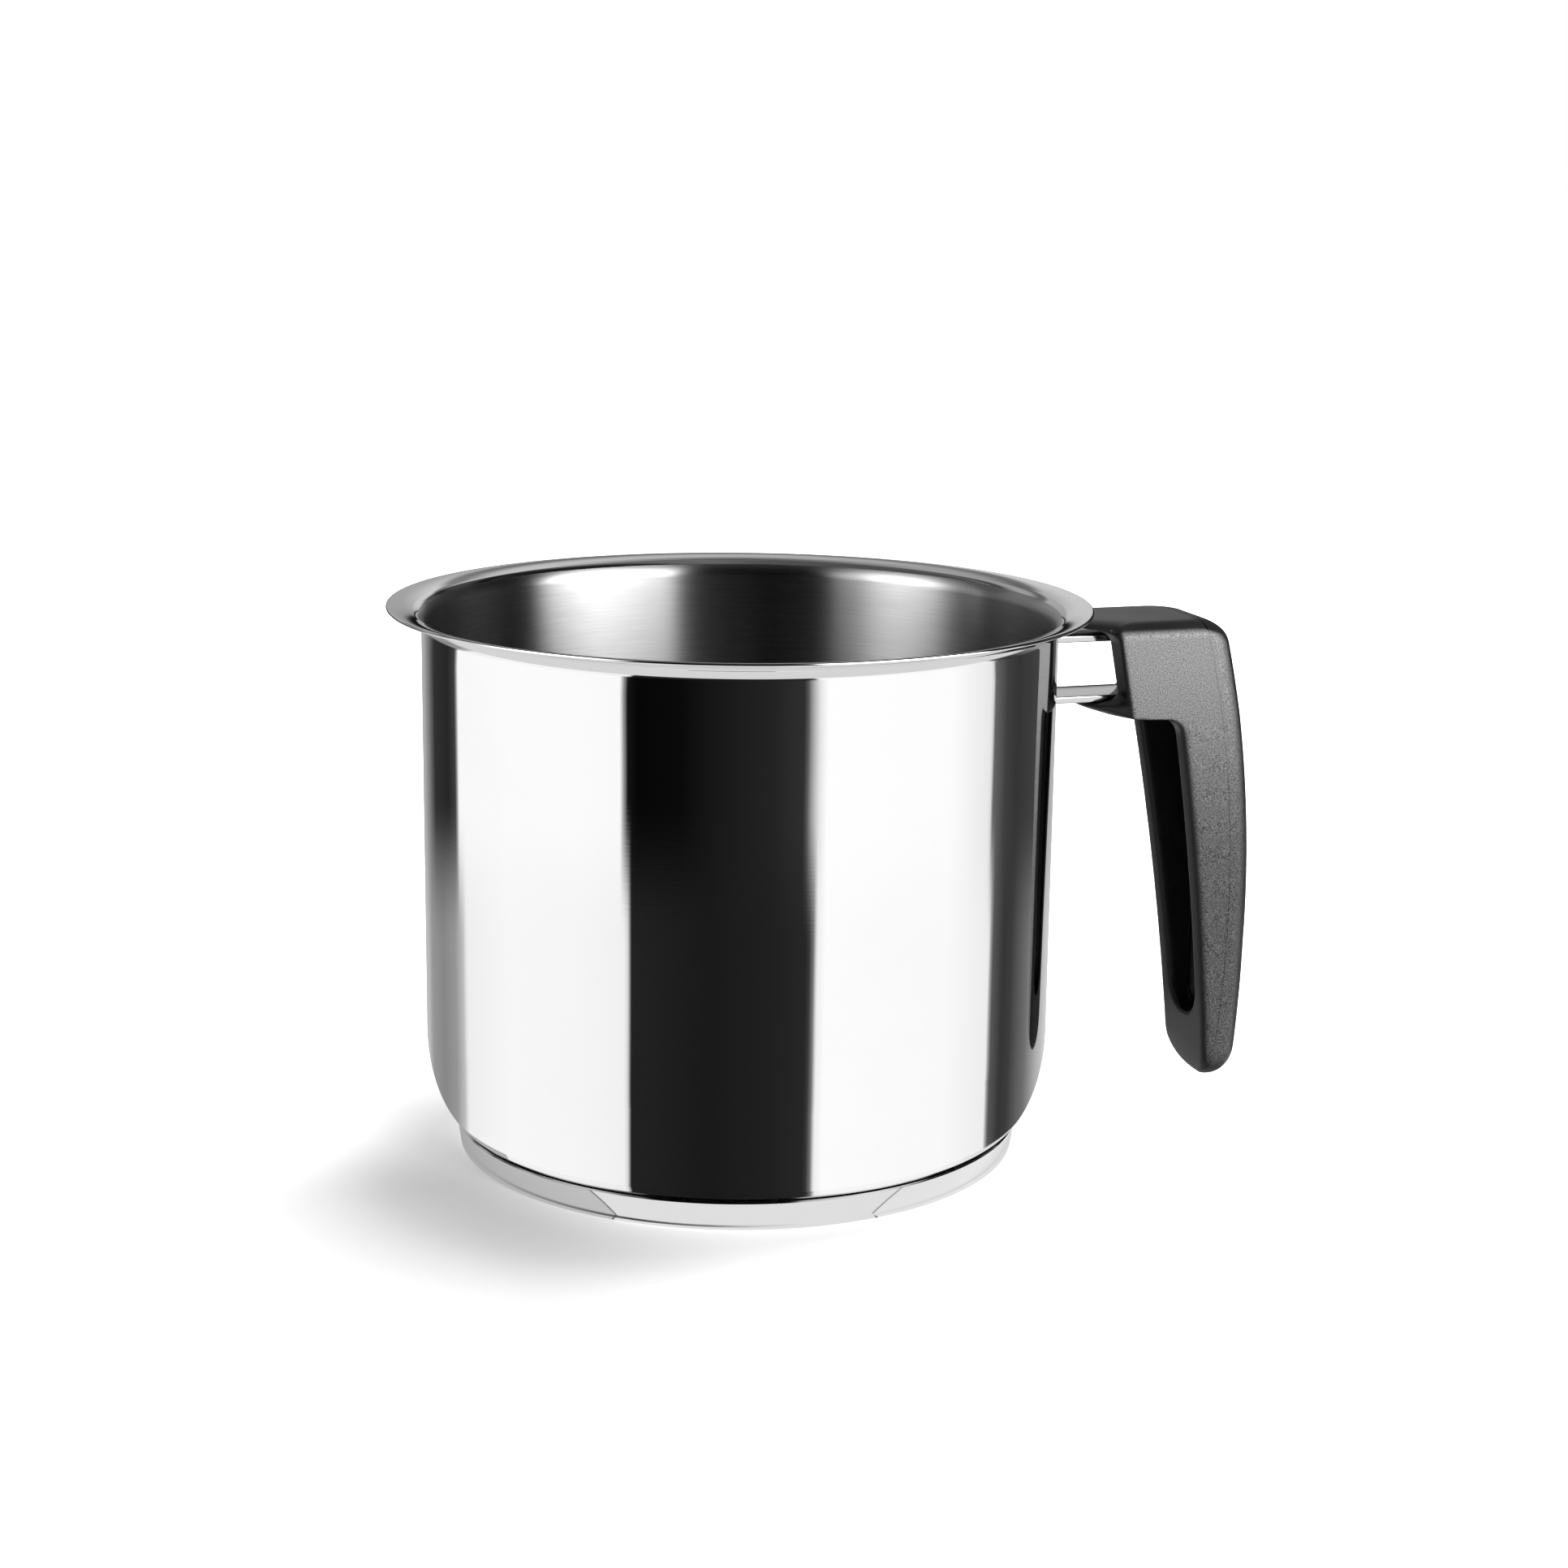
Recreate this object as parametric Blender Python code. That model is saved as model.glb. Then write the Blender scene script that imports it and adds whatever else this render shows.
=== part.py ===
"""Milk pot with a flared pouring rim, a capsule base and a moulded side handle.

Lengths are in metres. The pot stands on z = 0 with its axis on the z axis, and the handle
points along +x. A height is measured from the table, a reach from the pot's axis.
"""

import bpy
import bmesh
from math import atan2, cos, pi, radians, sin, sqrt

# Pot body, drawn from one stainless sheet
body_inner_diameter = 0.140
sheet_thickness = 0.0008
overall_height = 0.1242
corner_reach = 0.0106
corner_height = 0.0220
rim_overhang = 0.0076
rim_bend_radius = 0.0032
rim_slope_degrees = 12

# Capsule base: a steel cap pressed round an aluminium disc
cap_height = 0.0066
cap_setback = 0.0065
cap_draw_in = 0.0008
cap_edge_radius = 0.0009
cap_sheet = 0.0006
cap_lip_chamfer = 0.0003
cap_lip_drop = 0.0002

# Strap bracket, bent into a U and welded to the wall by its web
strap_width = 0.013
strap_thickness = 0.0016
strap_bend_radius = 0.0016
bracket_drop_below_rim = 0.0099
arm_spacing = 0.0142
arm_length_in_head = 0.0142

# Handle, moulded in one piece
handle_width = 0.030
handle_width_at_tip = 0.0224
handle_tip_height = 0.0042
head_stand_off = 0.0190
head_end_lean = 0.0042
head_roof_thickness = 0.0035
head_floor_thickness = 0.0026
head_floor_draft = 0.0005
head_to_grip_fillet = 0.0040
head_far_setback = 0.0100
grip_inner_step = 0.0018
grip_inner_slope = 0.0119
grip_outer_stand_off = 0.0202
grip_outer_sweep_radius = 0.289
grip_belly_height = 0.042
tip_round_height = 0.009
outer_corner_radius = 0.006
head_corner_radius = 0.0012
grip_corner_radius = 0.0018
head_flat_end_width = 0.0060
top_side_round_width = 0.0050
top_side_round_height = 0.0035
top_end_round_reach = 0.0080
top_end_round_height = 0.0074
lip_reach = 0.0085
lower_lip_drop = 0.0028
lower_lip_rise = 0.0030
upper_lip_rise = 0.0026
thumb_slope_reach = 0.0060
thumb_slope_height = 0.0016

# Channel moulded into the side of the grip that faces the pot
channel_rim_width = 0.0055
channel_wall = 0.0034
channel_bottom_height = 0.0200
channel_end_height = 0.0070
channel_edge_chamfer = 0.0010
channel_lintel = 0.0010

# Screw up through the head and both arms
screw_diameter = 0.0040
screw_head_diameter = 0.0076
screw_head_height = 0.0020
screw_slot_width = 0.0010
screw_slot_depth = 0.0010
screw_to_arm_end = 0.0060
screw_tip_past_arm = 0.0007
counterbore_depth = 0.0012
washer_diameter = 0.0078
washer_thickness = 0.0006

# Forms given as shares of the sizes above
corner_width_share = 0.6
corner_depth_share = 0.45
head_corner_share = 0.3
grip_corner_share = 0.65
grip_inner_sweep_share = 0.45
channel_corner_share = 0.4
pan_crown_width_share = 0.75
pan_shoulder_width_share = 0.95
pan_shoulder_height_share = 0.3
pan_edge_height_share = 0.7
screw_point_share = 0.7
first_level_share = 0.006

# Fits and cuts
seat_gap = 0.0003
cut_overrun = 0.002
weld_distance = 0.000001

# Smoothness of the round forms
turned_steps = 64
bore_steps = 24
end_steps = 14
corner_steps = 5
body_corner_steps = 9
tip_steps = 7
lip_steps = 5
sheet_bend_steps = 5
strap_bend_steps = 4
edge_steps = 4
grip_levels = 8
channel_levels = 6
crease_angle = radians(32)

# Sizes that follow from the ones above
body_outer_radius = body_inner_diameter / 2 + sheet_thickness
cap_top_radius = body_outer_radius - cap_setback
cap_lip_share = max(0, 1 - (cap_setback + cap_sheet) / corner_reach)
corner_rise_at_lip = corner_height * (1 - sqrt(1 - cap_lip_share ** 2))
body_floor_height = cap_height - cap_lip_drop + seat_gap - corner_rise_at_lip
upper_arm_height = overall_height - bracket_drop_below_rim
lower_arm_height = upper_arm_height - arm_spacing
head_end_reach_below = body_outer_radius + head_stand_off
head_end_reach_above = head_end_reach_below - head_end_lean
arm_reach = head_end_reach_below + arm_length_in_head
screw_reach = arm_reach - screw_to_arm_end
grip_inner_reach_above = arm_reach - grip_inner_step
grip_outer_reach = arm_reach + grip_outer_stand_off
lower_slot_floor = lower_arm_height - strap_thickness - seat_gap
upper_slot_floor = upper_arm_height - strap_thickness - seat_gap
slot_height = strap_thickness + 2 * seat_gap
handle_top_height = upper_arm_height + head_roof_thickness
head_underside_height = lower_slot_floor - head_floor_thickness
screw_bore_diameter = screw_diameter + 2 * seat_gap
counterbore_diameter = washer_diameter + 2 * seat_gap
counterbore_ceiling = head_underside_height + counterbore_depth
grip_top_height = head_underside_height - head_floor_draft
grip_length = grip_top_height - handle_tip_height


def clear_scene():
    for item in list(bpy.data.objects):
        bpy.data.objects.remove(item, do_unlink=True)


def surface(name, colour, roughness, metallic):
    """A Principled material with one colour, roughness and metallic value."""
    material = bpy.data.materials.new(name)
    material.use_nodes = True
    shader = material.node_tree.nodes["Principled BSDF"]
    shader.inputs["Base Color"].default_value = (*colour, 1)
    shader.inputs["Roughness"].default_value = roughness
    shader.inputs["Metallic"].default_value = metallic
    return material


def make_object(name, shape, material):
    """Turn a closed bmesh into a named object with outward faces and smooth shading."""
    bmesh.ops.remove_doubles(shape, verts=shape.verts[:], dist=weld_distance)
    bmesh.ops.recalc_face_normals(shape, faces=shape.faces[:])
    mesh = bpy.data.meshes.new(name)
    shape.to_mesh(mesh)
    shape.free()
    mesh.materials.append(material)
    mesh.shade_smooth()
    mesh.set_sharp_from_angle(angle=crease_angle)
    made = bpy.data.objects.new(name, mesh)
    bpy.context.collection.objects.link(made)
    return made


def turned(profile):
    """A solid of revolution about the z axis from a closed outline of (radius, height) points."""
    shape = bmesh.new()
    corners = [shape.verts.new((radius, 0, height)) for radius, height in profile]
    edges = [shape.edges.new((a, b)) for a, b in zip(corners, corners[1:])]
    if profile[0][0] > 0:
        edges.append(shape.edges.new((corners[-1], corners[0])))
    bmesh.ops.spin(shape, geom=corners + edges, cent=(0, 0, 0), axis=(0, 0, 1),
                   angle=2 * pi, steps=turned_steps, use_merge=True, use_duplicate=False)
    return shape


def lofted(rings):
    """A closed skin over a stack of rings that all have the same number of points."""
    shape = bmesh.new()
    layers = [[shape.verts.new(point) for point in ring] for ring in rings]
    count = len(rings[0])
    for lower, upper in zip(layers, layers[1:]):
        for i in range(count):
            j = (i + 1) % count
            shape.faces.new((lower[i], lower[j], upper[j], upper[i]))
    shape.faces.new(layers[0])
    shape.faces.new(layers[-1])
    return shape


def circle_at(x, radius, height, steps):
    return [(x + radius * cos(2 * pi * i / steps), radius * sin(2 * pi * i / steps), height)
            for i in range(steps)]


def cylinder_between(x, bottom, top, diameter, steps=bore_steps):
    """An upright cylinder on y = 0, centred at the given x."""
    return lofted([circle_at(x, diameter / 2, height, steps) for height in (bottom, top)])


def block(x_range, y_range, z_range):
    """A square-cornered block between two corners."""
    corners = [(x_range[i], y_range[j]) for i, j in ((0, 0), (1, 0), (1, 1), (0, 1))]
    return lofted([[(x, y, z) for x, y in corners] for z in z_range])


def cut_away(target, shape, name):
    """Subtract a closed bmesh from an object with an exact Boolean."""
    cutter = make_object(name, shape, target.data.materials[0])
    cutter.hide_render = True
    cutter.display_type = "WIRE"
    cut = target.modifiers.new(name, "BOOLEAN")
    cut.operation = "DIFFERENCE"
    cut.solver = "EXACT"
    cut.object = cutter


def arc(centre, radius, start, end, steps):
    """Points along an arc in the (radius, height) plane, each with its heading."""
    turn = 1 if end > start else -1
    points = []
    for i in range(steps + 1):
        angle = start + (end - start) * i / steps
        place = (centre[0] + radius * cos(angle), centre[1] + radius * sin(angle))
        points.append((*place, angle + turn * pi / 2))
    return points


def offset(points, distance):
    """The same path moved to the left of its heading by a distance."""
    return [(x - sin(heading) * distance, z + cos(heading) * distance) for x, z, heading in points]


def body_path():
    """Outer face of the body's sheet from the middle of the floor to the edge of the rim."""
    path = [(0, body_floor_height, 0)]
    for i in range(body_corner_steps + 1):
        angle = pi / 2 * i / body_corner_steps
        x = body_outer_radius - corner_reach * (1 - sin(angle))
        z = body_floor_height + corner_height * (1 - cos(angle))
        heading = atan2(corner_height * sin(angle), corner_reach * cos(angle))
        path.append((x, z, heading))
    slope = radians(rim_slope_degrees)
    edge_reach = body_outer_radius + rim_overhang - sheet_thickness / 2 * (1 - sin(slope))
    bend_reach = rim_bend_radius * (1 - sin(slope))
    run = edge_reach - body_outer_radius - bend_reach
    rise = rim_bend_radius * cos(slope) + run * sin(slope) / cos(slope)
    wall_top = overall_height - rise - sheet_thickness / 2 * (1 + cos(slope))
    centre = (body_outer_radius + rim_bend_radius, wall_top)
    path += arc(centre, rim_bend_radius, pi, pi / 2 + slope, sheet_bend_steps)
    path.append((edge_reach, wall_top + rise, slope))
    return path


def make_pot_body(steel):
    path = body_path()
    slope = path[-1][2]
    outer = offset(path, 0)
    inner = offset(path, sheet_thickness)
    middle = offset(path[-1:], sheet_thickness / 2)[0]
    half = sheet_thickness / 2
    edge = arc(middle, half, slope - pi / 2, slope + pi / 2, edge_steps)[1:-1]
    rounding = [(x, z) for x, z, _ in edge]
    return make_object("pot_body", turned(outer + rounding + inner[::-1]), steel)


def cap_outline(inset, radius, floor, top):
    """Half section of the cap's side at a distance inside its outer face, up to a height."""
    foot = cap_top_radius - cap_draw_in - inset
    reach = foot + cap_draw_in * top / cap_height
    edge = arc((foot - radius, floor + radius), radius, -pi / 2, 0, edge_steps)
    rounding = [(x, z) for x, z, _ in edge]
    return [(0, floor)] + rounding + [(reach, top)]


def make_base_cap(steel):
    outer = cap_outline(0, cap_edge_radius, 0, cap_height - cap_lip_chamfer)
    lip = [(cap_top_radius - cap_lip_chamfer, cap_height)]
    lip_inside = cap_height - cap_lip_drop
    inner = cap_outline(cap_sheet, cap_edge_radius - cap_sheet, cap_sheet, lip_inside)
    return make_object("base_cap", turned(outer + lip + inner[::-1]), steel)


def make_heat_spreader_disc(aluminium):
    inset = cap_sheet + seat_gap
    top = body_floor_height - seat_gap
    side = cap_outline(inset, cap_edge_radius - cap_sheet, inset, top)
    return make_object("heat_spreader_disc", turned(side + [(0, top)]), aluminium)


def strap_path():
    """Side of the strap that faces into the U, from the end of the upper arm to the lower one's."""
    web = body_outer_radius + seat_gap + strap_thickness
    top = upper_arm_height - strap_thickness
    bottom = lower_arm_height
    bend = strap_bend_radius
    path = [(arm_reach, top, pi)]
    path += arc((web + bend, top - bend), bend, pi / 2, pi, strap_bend_steps)
    path += arc((web + bend, bottom + bend), bend, pi, 3 * pi / 2, strap_bend_steps)
    path.append((arm_reach, bottom, 0))
    return path


def make_handle_bracket(steel):
    inside = offset(strap_path(), 0)
    outside = offset(strap_path(), -strap_thickness)
    outline = inside + outside[::-1]
    half = strap_width / 2
    sides = [[(x, y, z) for x, z in outline] for y in (-half, half)]
    bracket = make_object("handle_bracket", lofted(sides), steel)
    low = lower_arm_height - strap_thickness - cut_overrun
    high = upper_arm_height + cut_overrun
    bore = cylinder_between(screw_reach, low, high, screw_bore_diameter)
    cut_away(bracket, bore, "bracket_screw_bore")
    wall = cylinder_between(0, low, high, 2 * (body_outer_radius + seat_gap), 4 * turned_steps)
    cut_away(bracket, wall, "bracket_wall_seat")
    return bracket


def quarter_round(share):
    """Inward step of an elliptical round, as a share of its width, at a share of its height."""
    return 1 - sqrt(max(0, 1 - min(1, max(0, share)) ** 2))


def grip_share(height):
    """0 where the grip meets the head and 1 at its tip."""
    return min(1, max(0, (grip_top_height - height) / grip_length))


def half_width_at(height):
    narrowing = (handle_width - handle_width_at_tip) / 2 * grip_share(height)
    start = handle_top_height - top_side_round_height
    shoulder = top_side_round_width * quarter_round((height - start) / top_side_round_height)
    return handle_width / 2 - narrowing - shoulder


def outer_reach_at(height):
    sweep = (height - grip_belly_height) ** 2 / (2 * grip_outer_sweep_radius)
    start = handle_top_height - top_end_round_height
    shoulder = top_end_round_reach * quarter_round((height - start) / top_end_round_height)
    return grip_outer_reach - sweep - shoulder


def head_inner_reach_at(height):
    span = handle_top_height - head_underside_height
    share = (height - head_underside_height) / span
    start = handle_top_height - thumb_slope_height
    thumb = thumb_slope_reach * quarter_round((height - start) / thumb_slope_height)
    return head_end_reach_below - head_end_lean * share + thumb


def grip_inner_reach_at(height):
    """Inner face of the grip, swept back towards its tip, with a fillet into the head's underside."""
    down = grip_share(height)
    sweep = grip_inner_slope * down * (1 + grip_inner_sweep_share * (1 - down))
    below = grip_top_height - head_to_grip_fillet
    fillet = head_to_grip_fillet * quarter_round((height - below) / head_to_grip_fillet)
    return grip_inner_reach_above + sweep - fillet


def lip_share_at(height):
    """How far the lips under and over the arms stand out at a height, from 0 to 1."""
    lower_peak = lower_slot_floor
    if height <= lower_peak:
        return 1 - quarter_round((lower_peak - height) / lower_lip_drop)
    upper_peak = upper_slot_floor + slot_height + upper_lip_rise
    if height >= upper_peak:
        return 1
    rising = (height - (upper_peak - lower_lip_rise)) / lower_lip_rise
    falling = (height - lower_peak) / lower_lip_rise
    return max(1 - sqrt(min(1, max(0, falling))), quarter_round(rising))


def inner_end(height):
    """The end of the head that faces the pot, from its near corner to its far corner."""
    half = half_width_at(height)
    corner = head_inner_reach_at(height)
    lip = lip_share_at(height)
    points = []
    for i in range(end_steps + 1):
        y = half * (2 * i / end_steps - 1)
        past_flat = max(0, y + handle_width / 2 - head_flat_end_width)
        setback = head_far_setback * past_flat / (handle_width - head_flat_end_width)
        nose = lip_reach * lip * (1 - (y / half) ** 2)
        points.append((corner + setback * (1 - lip) - nose, y))
    return points


def plan_at(inner, half, outer, inner_radius, inner_share):
    """Outline of one level: an inner end, the far side, a rounded outer end and the near side."""
    depth = outer - inner[-1][0]
    radius = min(outer_corner_radius, half * corner_width_share, depth * corner_depth_share)
    inset = min(inner_radius, radius)
    points = [(inner[0][0] + inset, -half)]
    narrowed = (half - inset * inner_share) / half
    points += [(x, y * narrowed) for x, y in inner]
    points += [(inner[-1][0] + inset, half)]
    turn = range(corner_steps + 1)
    for side, order in ((1, reversed(turn)), (-1, turn)):
        for i in order:
            angle = pi / 2 * i / corner_steps
            points.append((outer - radius + radius * cos(angle),
                           side * (half - radius + radius * sin(angle))))
    return points


def head_ring(height):
    outline = plan_at(inner_end(height), half_width_at(height), outer_reach_at(height),
                      head_corner_radius, head_corner_share)
    return [(x, y, height) for x, y in outline]


def grip_ring(height):
    """A level of the grip, drawn in towards its middle over the rounded tip."""
    half = half_width_at(height)
    inner = grip_inner_reach_at(height)
    outer = outer_reach_at(height)
    above_tip = (height - handle_tip_height) / tip_round_height
    keep = sqrt(max(0, 1 - max(0, 1 - above_tip) ** 2))
    middle = (inner + outer) / 2
    depth = (outer - inner) / 2 * keep
    half *= keep
    flat = [(middle - depth, half * (2 * i / end_steps - 1)) for i in range(end_steps + 1)]
    outline = plan_at(flat, half, middle + depth, grip_corner_radius, grip_corner_share)
    return [(x, y, height) for x, y in outline]


def levels(bottom, top, count):
    return [bottom + (top - bottom) * i / count for i in range(1, count + 1)]


def round_up(bottom, top, count):
    """Heights from bottom to top that close up towards the top as a round does."""
    return [bottom + (top - bottom) * sin(pi / 2 * i / count) for i in range(1, count + 1)]


def round_down(bottom, top, count):
    """Heights from bottom to top that start close together as a round does."""
    return [bottom + (top - bottom) * (1 - cos(pi / 2 * i / count)) for i in range(1, count + 1)]


def handle_rings():
    tip_top = handle_tip_height + tip_round_height
    fillet_start = grip_top_height - head_to_grip_fillet
    grip = [handle_tip_height + tip_round_height * first_level_share]
    grip += round_down(handle_tip_height, tip_top, tip_steps)
    grip += levels(tip_top, fillet_start, grip_levels)
    grip += round_up(fillet_start, grip_top_height, corner_steps)
    upper_lip = upper_slot_floor + slot_height + upper_lip_rise
    shoulder = handle_top_height - top_end_round_height
    head = [head_underside_height]
    head += round_up(head_underside_height, lower_slot_floor, lip_steps)
    head += round_down(lower_slot_floor, lower_slot_floor + lower_lip_rise, lip_steps)
    head += levels(head[-1], shoulder, 2)
    head += levels(shoulder, upper_lip - lower_lip_rise, 2)
    head += round_up(head[-1], upper_lip, lip_steps)
    head += round_up(upper_lip, handle_top_height, lip_steps)
    return [grip_ring(z) for z in grip] + [head_ring(z) for z in head]


def channel_rings():
    """Levels of the channel, which opens towards the pot and has a rounded lower end."""
    top = head_underside_height - channel_lintel
    end_top = channel_bottom_height + channel_end_height
    heights = [channel_bottom_height + channel_end_height * first_level_share]
    heights += round_down(channel_bottom_height, end_top, tip_steps)
    heights += levels(end_top, top, channel_levels)
    rings = []
    for height in heights:
        above = (height - channel_bottom_height) / channel_end_height
        keep = sqrt(max(0, 1 - max(0, 1 - above) ** 2))
        half = (half_width_at(height) - channel_rim_width) * keep
        inner = grip_inner_reach_at(height)
        back = outer_reach_at(height) - channel_wall
        back = inner + (back - inner) * keep
        mouth = half + channel_edge_chamfer
        corner = half * channel_corner_share
        side = [(inner - cut_overrun, mouth), (inner, mouth), (inner + channel_edge_chamfer, half),
                (back - corner, half), (back, half - corner)]
        outline = [(x, -y) for x, y in side] + side[::-1]
        rings.append([(x, y, height) for x, y in outline])
    return rings


def make_handle(phenolic):
    handle = make_object("handle", lofted(handle_rings()), phenolic)
    cut_away(handle, lofted(channel_rings()), "grip_channel")
    slot_half = strap_width / 2 + seat_gap
    slot_end = arm_reach + seat_gap
    for name, floor in (("lower_slot", lower_slot_floor), ("upper_slot", upper_slot_floor)):
        slot = block((body_outer_radius, slot_end), (-slot_half, slot_half),
                     (floor, floor + slot_height))
        cut_away(handle, slot, name)
    bore_top = upper_arm_height + screw_tip_past_arm + seat_gap
    bore = cylinder_between(screw_reach, head_underside_height, bore_top, screw_bore_diameter)
    cut_away(handle, bore, "handle_screw_bore")
    counterbore = cylinder_between(screw_reach, head_underside_height - cut_overrun,
                                   counterbore_ceiling, counterbore_diameter)
    cut_away(handle, counterbore, "handle_counterbore")
    return handle


def make_handle_screw(steel):
    """Pan-head screw: driven from below, its tip stands just past the upper arm."""
    seat = counterbore_ceiling - washer_thickness - 2 * seat_gap
    foot = seat - screw_head_height
    head = screw_head_diameter / 2
    shank = screw_diameter / 2
    tip = upper_arm_height + screw_tip_past_arm
    point = shank * screw_point_share
    outline = [(head * pan_crown_width_share, foot),
               (head * pan_shoulder_width_share, foot + screw_head_height * pan_shoulder_height_share),
               (head, foot + screw_head_height * pan_edge_height_share),
               (head, seat), (shank, seat), (shank, tip - shank + point), (point, tip)]
    rings = [circle_at(screw_reach, radius, height, bore_steps) for radius, height in outline]
    screw = make_object("handle_screw", lofted(rings), steel)
    half = screw_slot_width / 2
    slot = block((screw_reach - head - cut_overrun, screw_reach + head + cut_overrun),
                 (-half, half), (foot - cut_overrun, foot + screw_slot_depth))
    cut_away(screw, slot, "screw_slot")
    return screw


def make_screw_washer(steel):
    top = counterbore_ceiling - seat_gap
    bottom = top - washer_thickness
    plate = cylinder_between(screw_reach, bottom, top, washer_diameter)
    washer = make_object("screw_washer", plate, steel)
    hole = cylinder_between(screw_reach, bottom - cut_overrun, top + cut_overrun,
                            screw_bore_diameter)
    cut_away(washer, hole, "washer_hole")
    return washer


def main():
    clear_scene()
    polished = surface("polished_steel", (0.80, 0.80, 0.80), 0.07, 1)
    strap = surface("strap_steel", (0.76, 0.76, 0.76), 0.14, 1)
    fastener = surface("zinc_plated_steel", (0.62, 0.62, 0.60), 0.32, 1)
    aluminium = surface("aluminium", (0.82, 0.82, 0.83), 0.38, 1)
    phenolic = surface("black_phenolic", (0.028, 0.028, 0.029), 0.46, 0)
    make_pot_body(polished)
    make_heat_spreader_disc(aluminium)
    make_base_cap(polished)
    make_handle_bracket(strap)
    make_handle(phenolic)
    make_handle_screw(fastener)
    make_screw_washer(fastener)


main()
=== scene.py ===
import bpy
import numpy as np
from mathutils import Matrix


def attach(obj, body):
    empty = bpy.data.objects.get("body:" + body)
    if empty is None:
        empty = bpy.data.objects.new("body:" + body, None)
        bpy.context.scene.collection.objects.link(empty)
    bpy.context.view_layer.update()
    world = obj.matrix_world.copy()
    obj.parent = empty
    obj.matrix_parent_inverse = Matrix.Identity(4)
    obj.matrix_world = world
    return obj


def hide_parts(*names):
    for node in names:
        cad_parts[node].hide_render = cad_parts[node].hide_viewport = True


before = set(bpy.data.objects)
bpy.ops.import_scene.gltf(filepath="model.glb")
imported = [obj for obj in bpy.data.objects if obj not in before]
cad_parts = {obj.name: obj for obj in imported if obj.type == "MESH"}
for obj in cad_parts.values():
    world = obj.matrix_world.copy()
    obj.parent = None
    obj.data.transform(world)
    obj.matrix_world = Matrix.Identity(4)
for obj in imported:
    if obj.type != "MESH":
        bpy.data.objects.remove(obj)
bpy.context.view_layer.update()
bpy.context.scene.view_settings.view_transform = "Standard"


# Camera
# A short telephoto view from above the rim. The handle points along +X and, seen from here,
# 17 degrees away from the camera.
handle_turn = np.radians(17)
camera_distance, camera_height = 0.63683, 0.2247
pitch, yaw, roll = np.radians((12.58, 0.915, 0.713))


def from_camera_side(x, y, z):
    """A point or direction with +X to the camera's right and +Y away from it, in the row frame.

    It is turned about the pot's axis by the handle's angle.
    """
    c, s = np.cos(handle_turn), np.sin(handle_turn)
    return x * c + y * s, y * c - x * s, z


def placed(name, data):
    """A new object with that data, in the scene."""
    item = bpy.data.objects.new(name, data)
    bpy.context.scene.collection.objects.link(item)
    return item


ahead = np.array([np.sin(yaw) * np.cos(pitch), np.cos(yaw) * np.cos(pitch), -np.sin(pitch)])
right = np.cross(ahead, [0, 0, 1])
right = right / np.linalg.norm(right)
up = np.cross(right, ahead)
right, up = np.cos(roll) * right + np.sin(roll) * up, np.cos(roll) * up - np.sin(roll) * right
camera = placed("camera", bpy.data.cameras.new("camera"))
camera.data.lens = 66.26
camera.data.sensor_width = 36
camera.data.clip_start, camera.data.clip_end = 0.01, 100
axes = Matrix([from_camera_side(*v) for v in (right, up, -ahead)]).transposed()
stand = from_camera_side(0, -camera_distance, camera_height)
camera.matrix_world = Matrix.Translation(stand) @ axes.to_4x4()
bpy.context.scene.camera = camera


# White surroundings
# A seamless white sweep under an even white world. The sweep keeps the pot's soft shadow. The camera
# and the steel see the world as white, and it adds only a weak fill to the light on the pot.
def new_material(name):
    """A new material, its node tree and the only node left in it, the output."""
    material = bpy.data.materials.new(name)
    material.use_nodes = True
    material.node_tree.nodes.clear()
    output = material.node_tree.nodes.new("ShaderNodeOutputMaterial")
    return material, material.node_tree, output


def add(tree, kind, inputs=None, **settings):
    """A new shader node. Each input is a plain value or the socket that feeds it."""
    node = tree.nodes.new(kind)
    for name, value in settings.items():
        setattr(node, name, value)
    for name, value in (inputs or {}).items():
        if isinstance(value, bpy.types.NodeSocket):
            tree.links.new(value, node.inputs[name])
        else:
            node.inputs[name].default_value = value
    return node


def own_place(tree):
    """The shaded point in its object's own axes."""
    return add(tree, "ShaderNodeTexCoord").outputs["Object"]


def maths(tree, operation, a, b=0.0, c=0.0):
    """The result of one Math node."""
    return add(tree, "ShaderNodeMath", {0: a, 1: b, 2: c}, operation=operation).outputs[0]


def ramp(tree, share, stops):
    """A colour ramp of greys from (position, grey) pairs."""
    node = add(tree, "ShaderNodeValToRGB", {"Fac": share})
    elements = node.color_ramp.elements
    while len(elements) < len(stops):
        elements.new(0.5)
    for element, (position, grey) in zip(elements, stops):
        element.position = position
        element.color = (grey, grey, grey, 1)
    return node.outputs["Color"]


def smooth_step(tree, value, low, high):
    """0 below low, 1 above high and a smooth rise between them."""
    node = add(tree, "ShaderNodeMapRange", {"Value": value, "From Min": low, "From Max": high},
               interpolation_type="SMOOTHSTEP")
    return node.outputs["Result"]


world = bpy.data.worlds.new("studio")
bpy.context.scene.world = world
world.use_nodes = True
world.node_tree.nodes.clear()
path = add(world.node_tree, "ShaderNodeLightPath")
seen = maths(world.node_tree, "MAXIMUM", path.outputs["Is Camera Ray"], path.outputs["Is Glossy Ray"])
seen = maths(world.node_tree, "MAXIMUM", seen, path.outputs["Is Transmission Ray"])
fill = 0.16
strength = maths(world.node_tree, "MULTIPLY_ADD", seen, 1 - fill, fill)
light = add(world.node_tree, "ShaderNodeBackground", {"Color": (1, 1, 1, 1), "Strength": strength})
add(world.node_tree, "ShaderNodeOutputWorld", {"Surface": light.outputs[0]})

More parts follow.
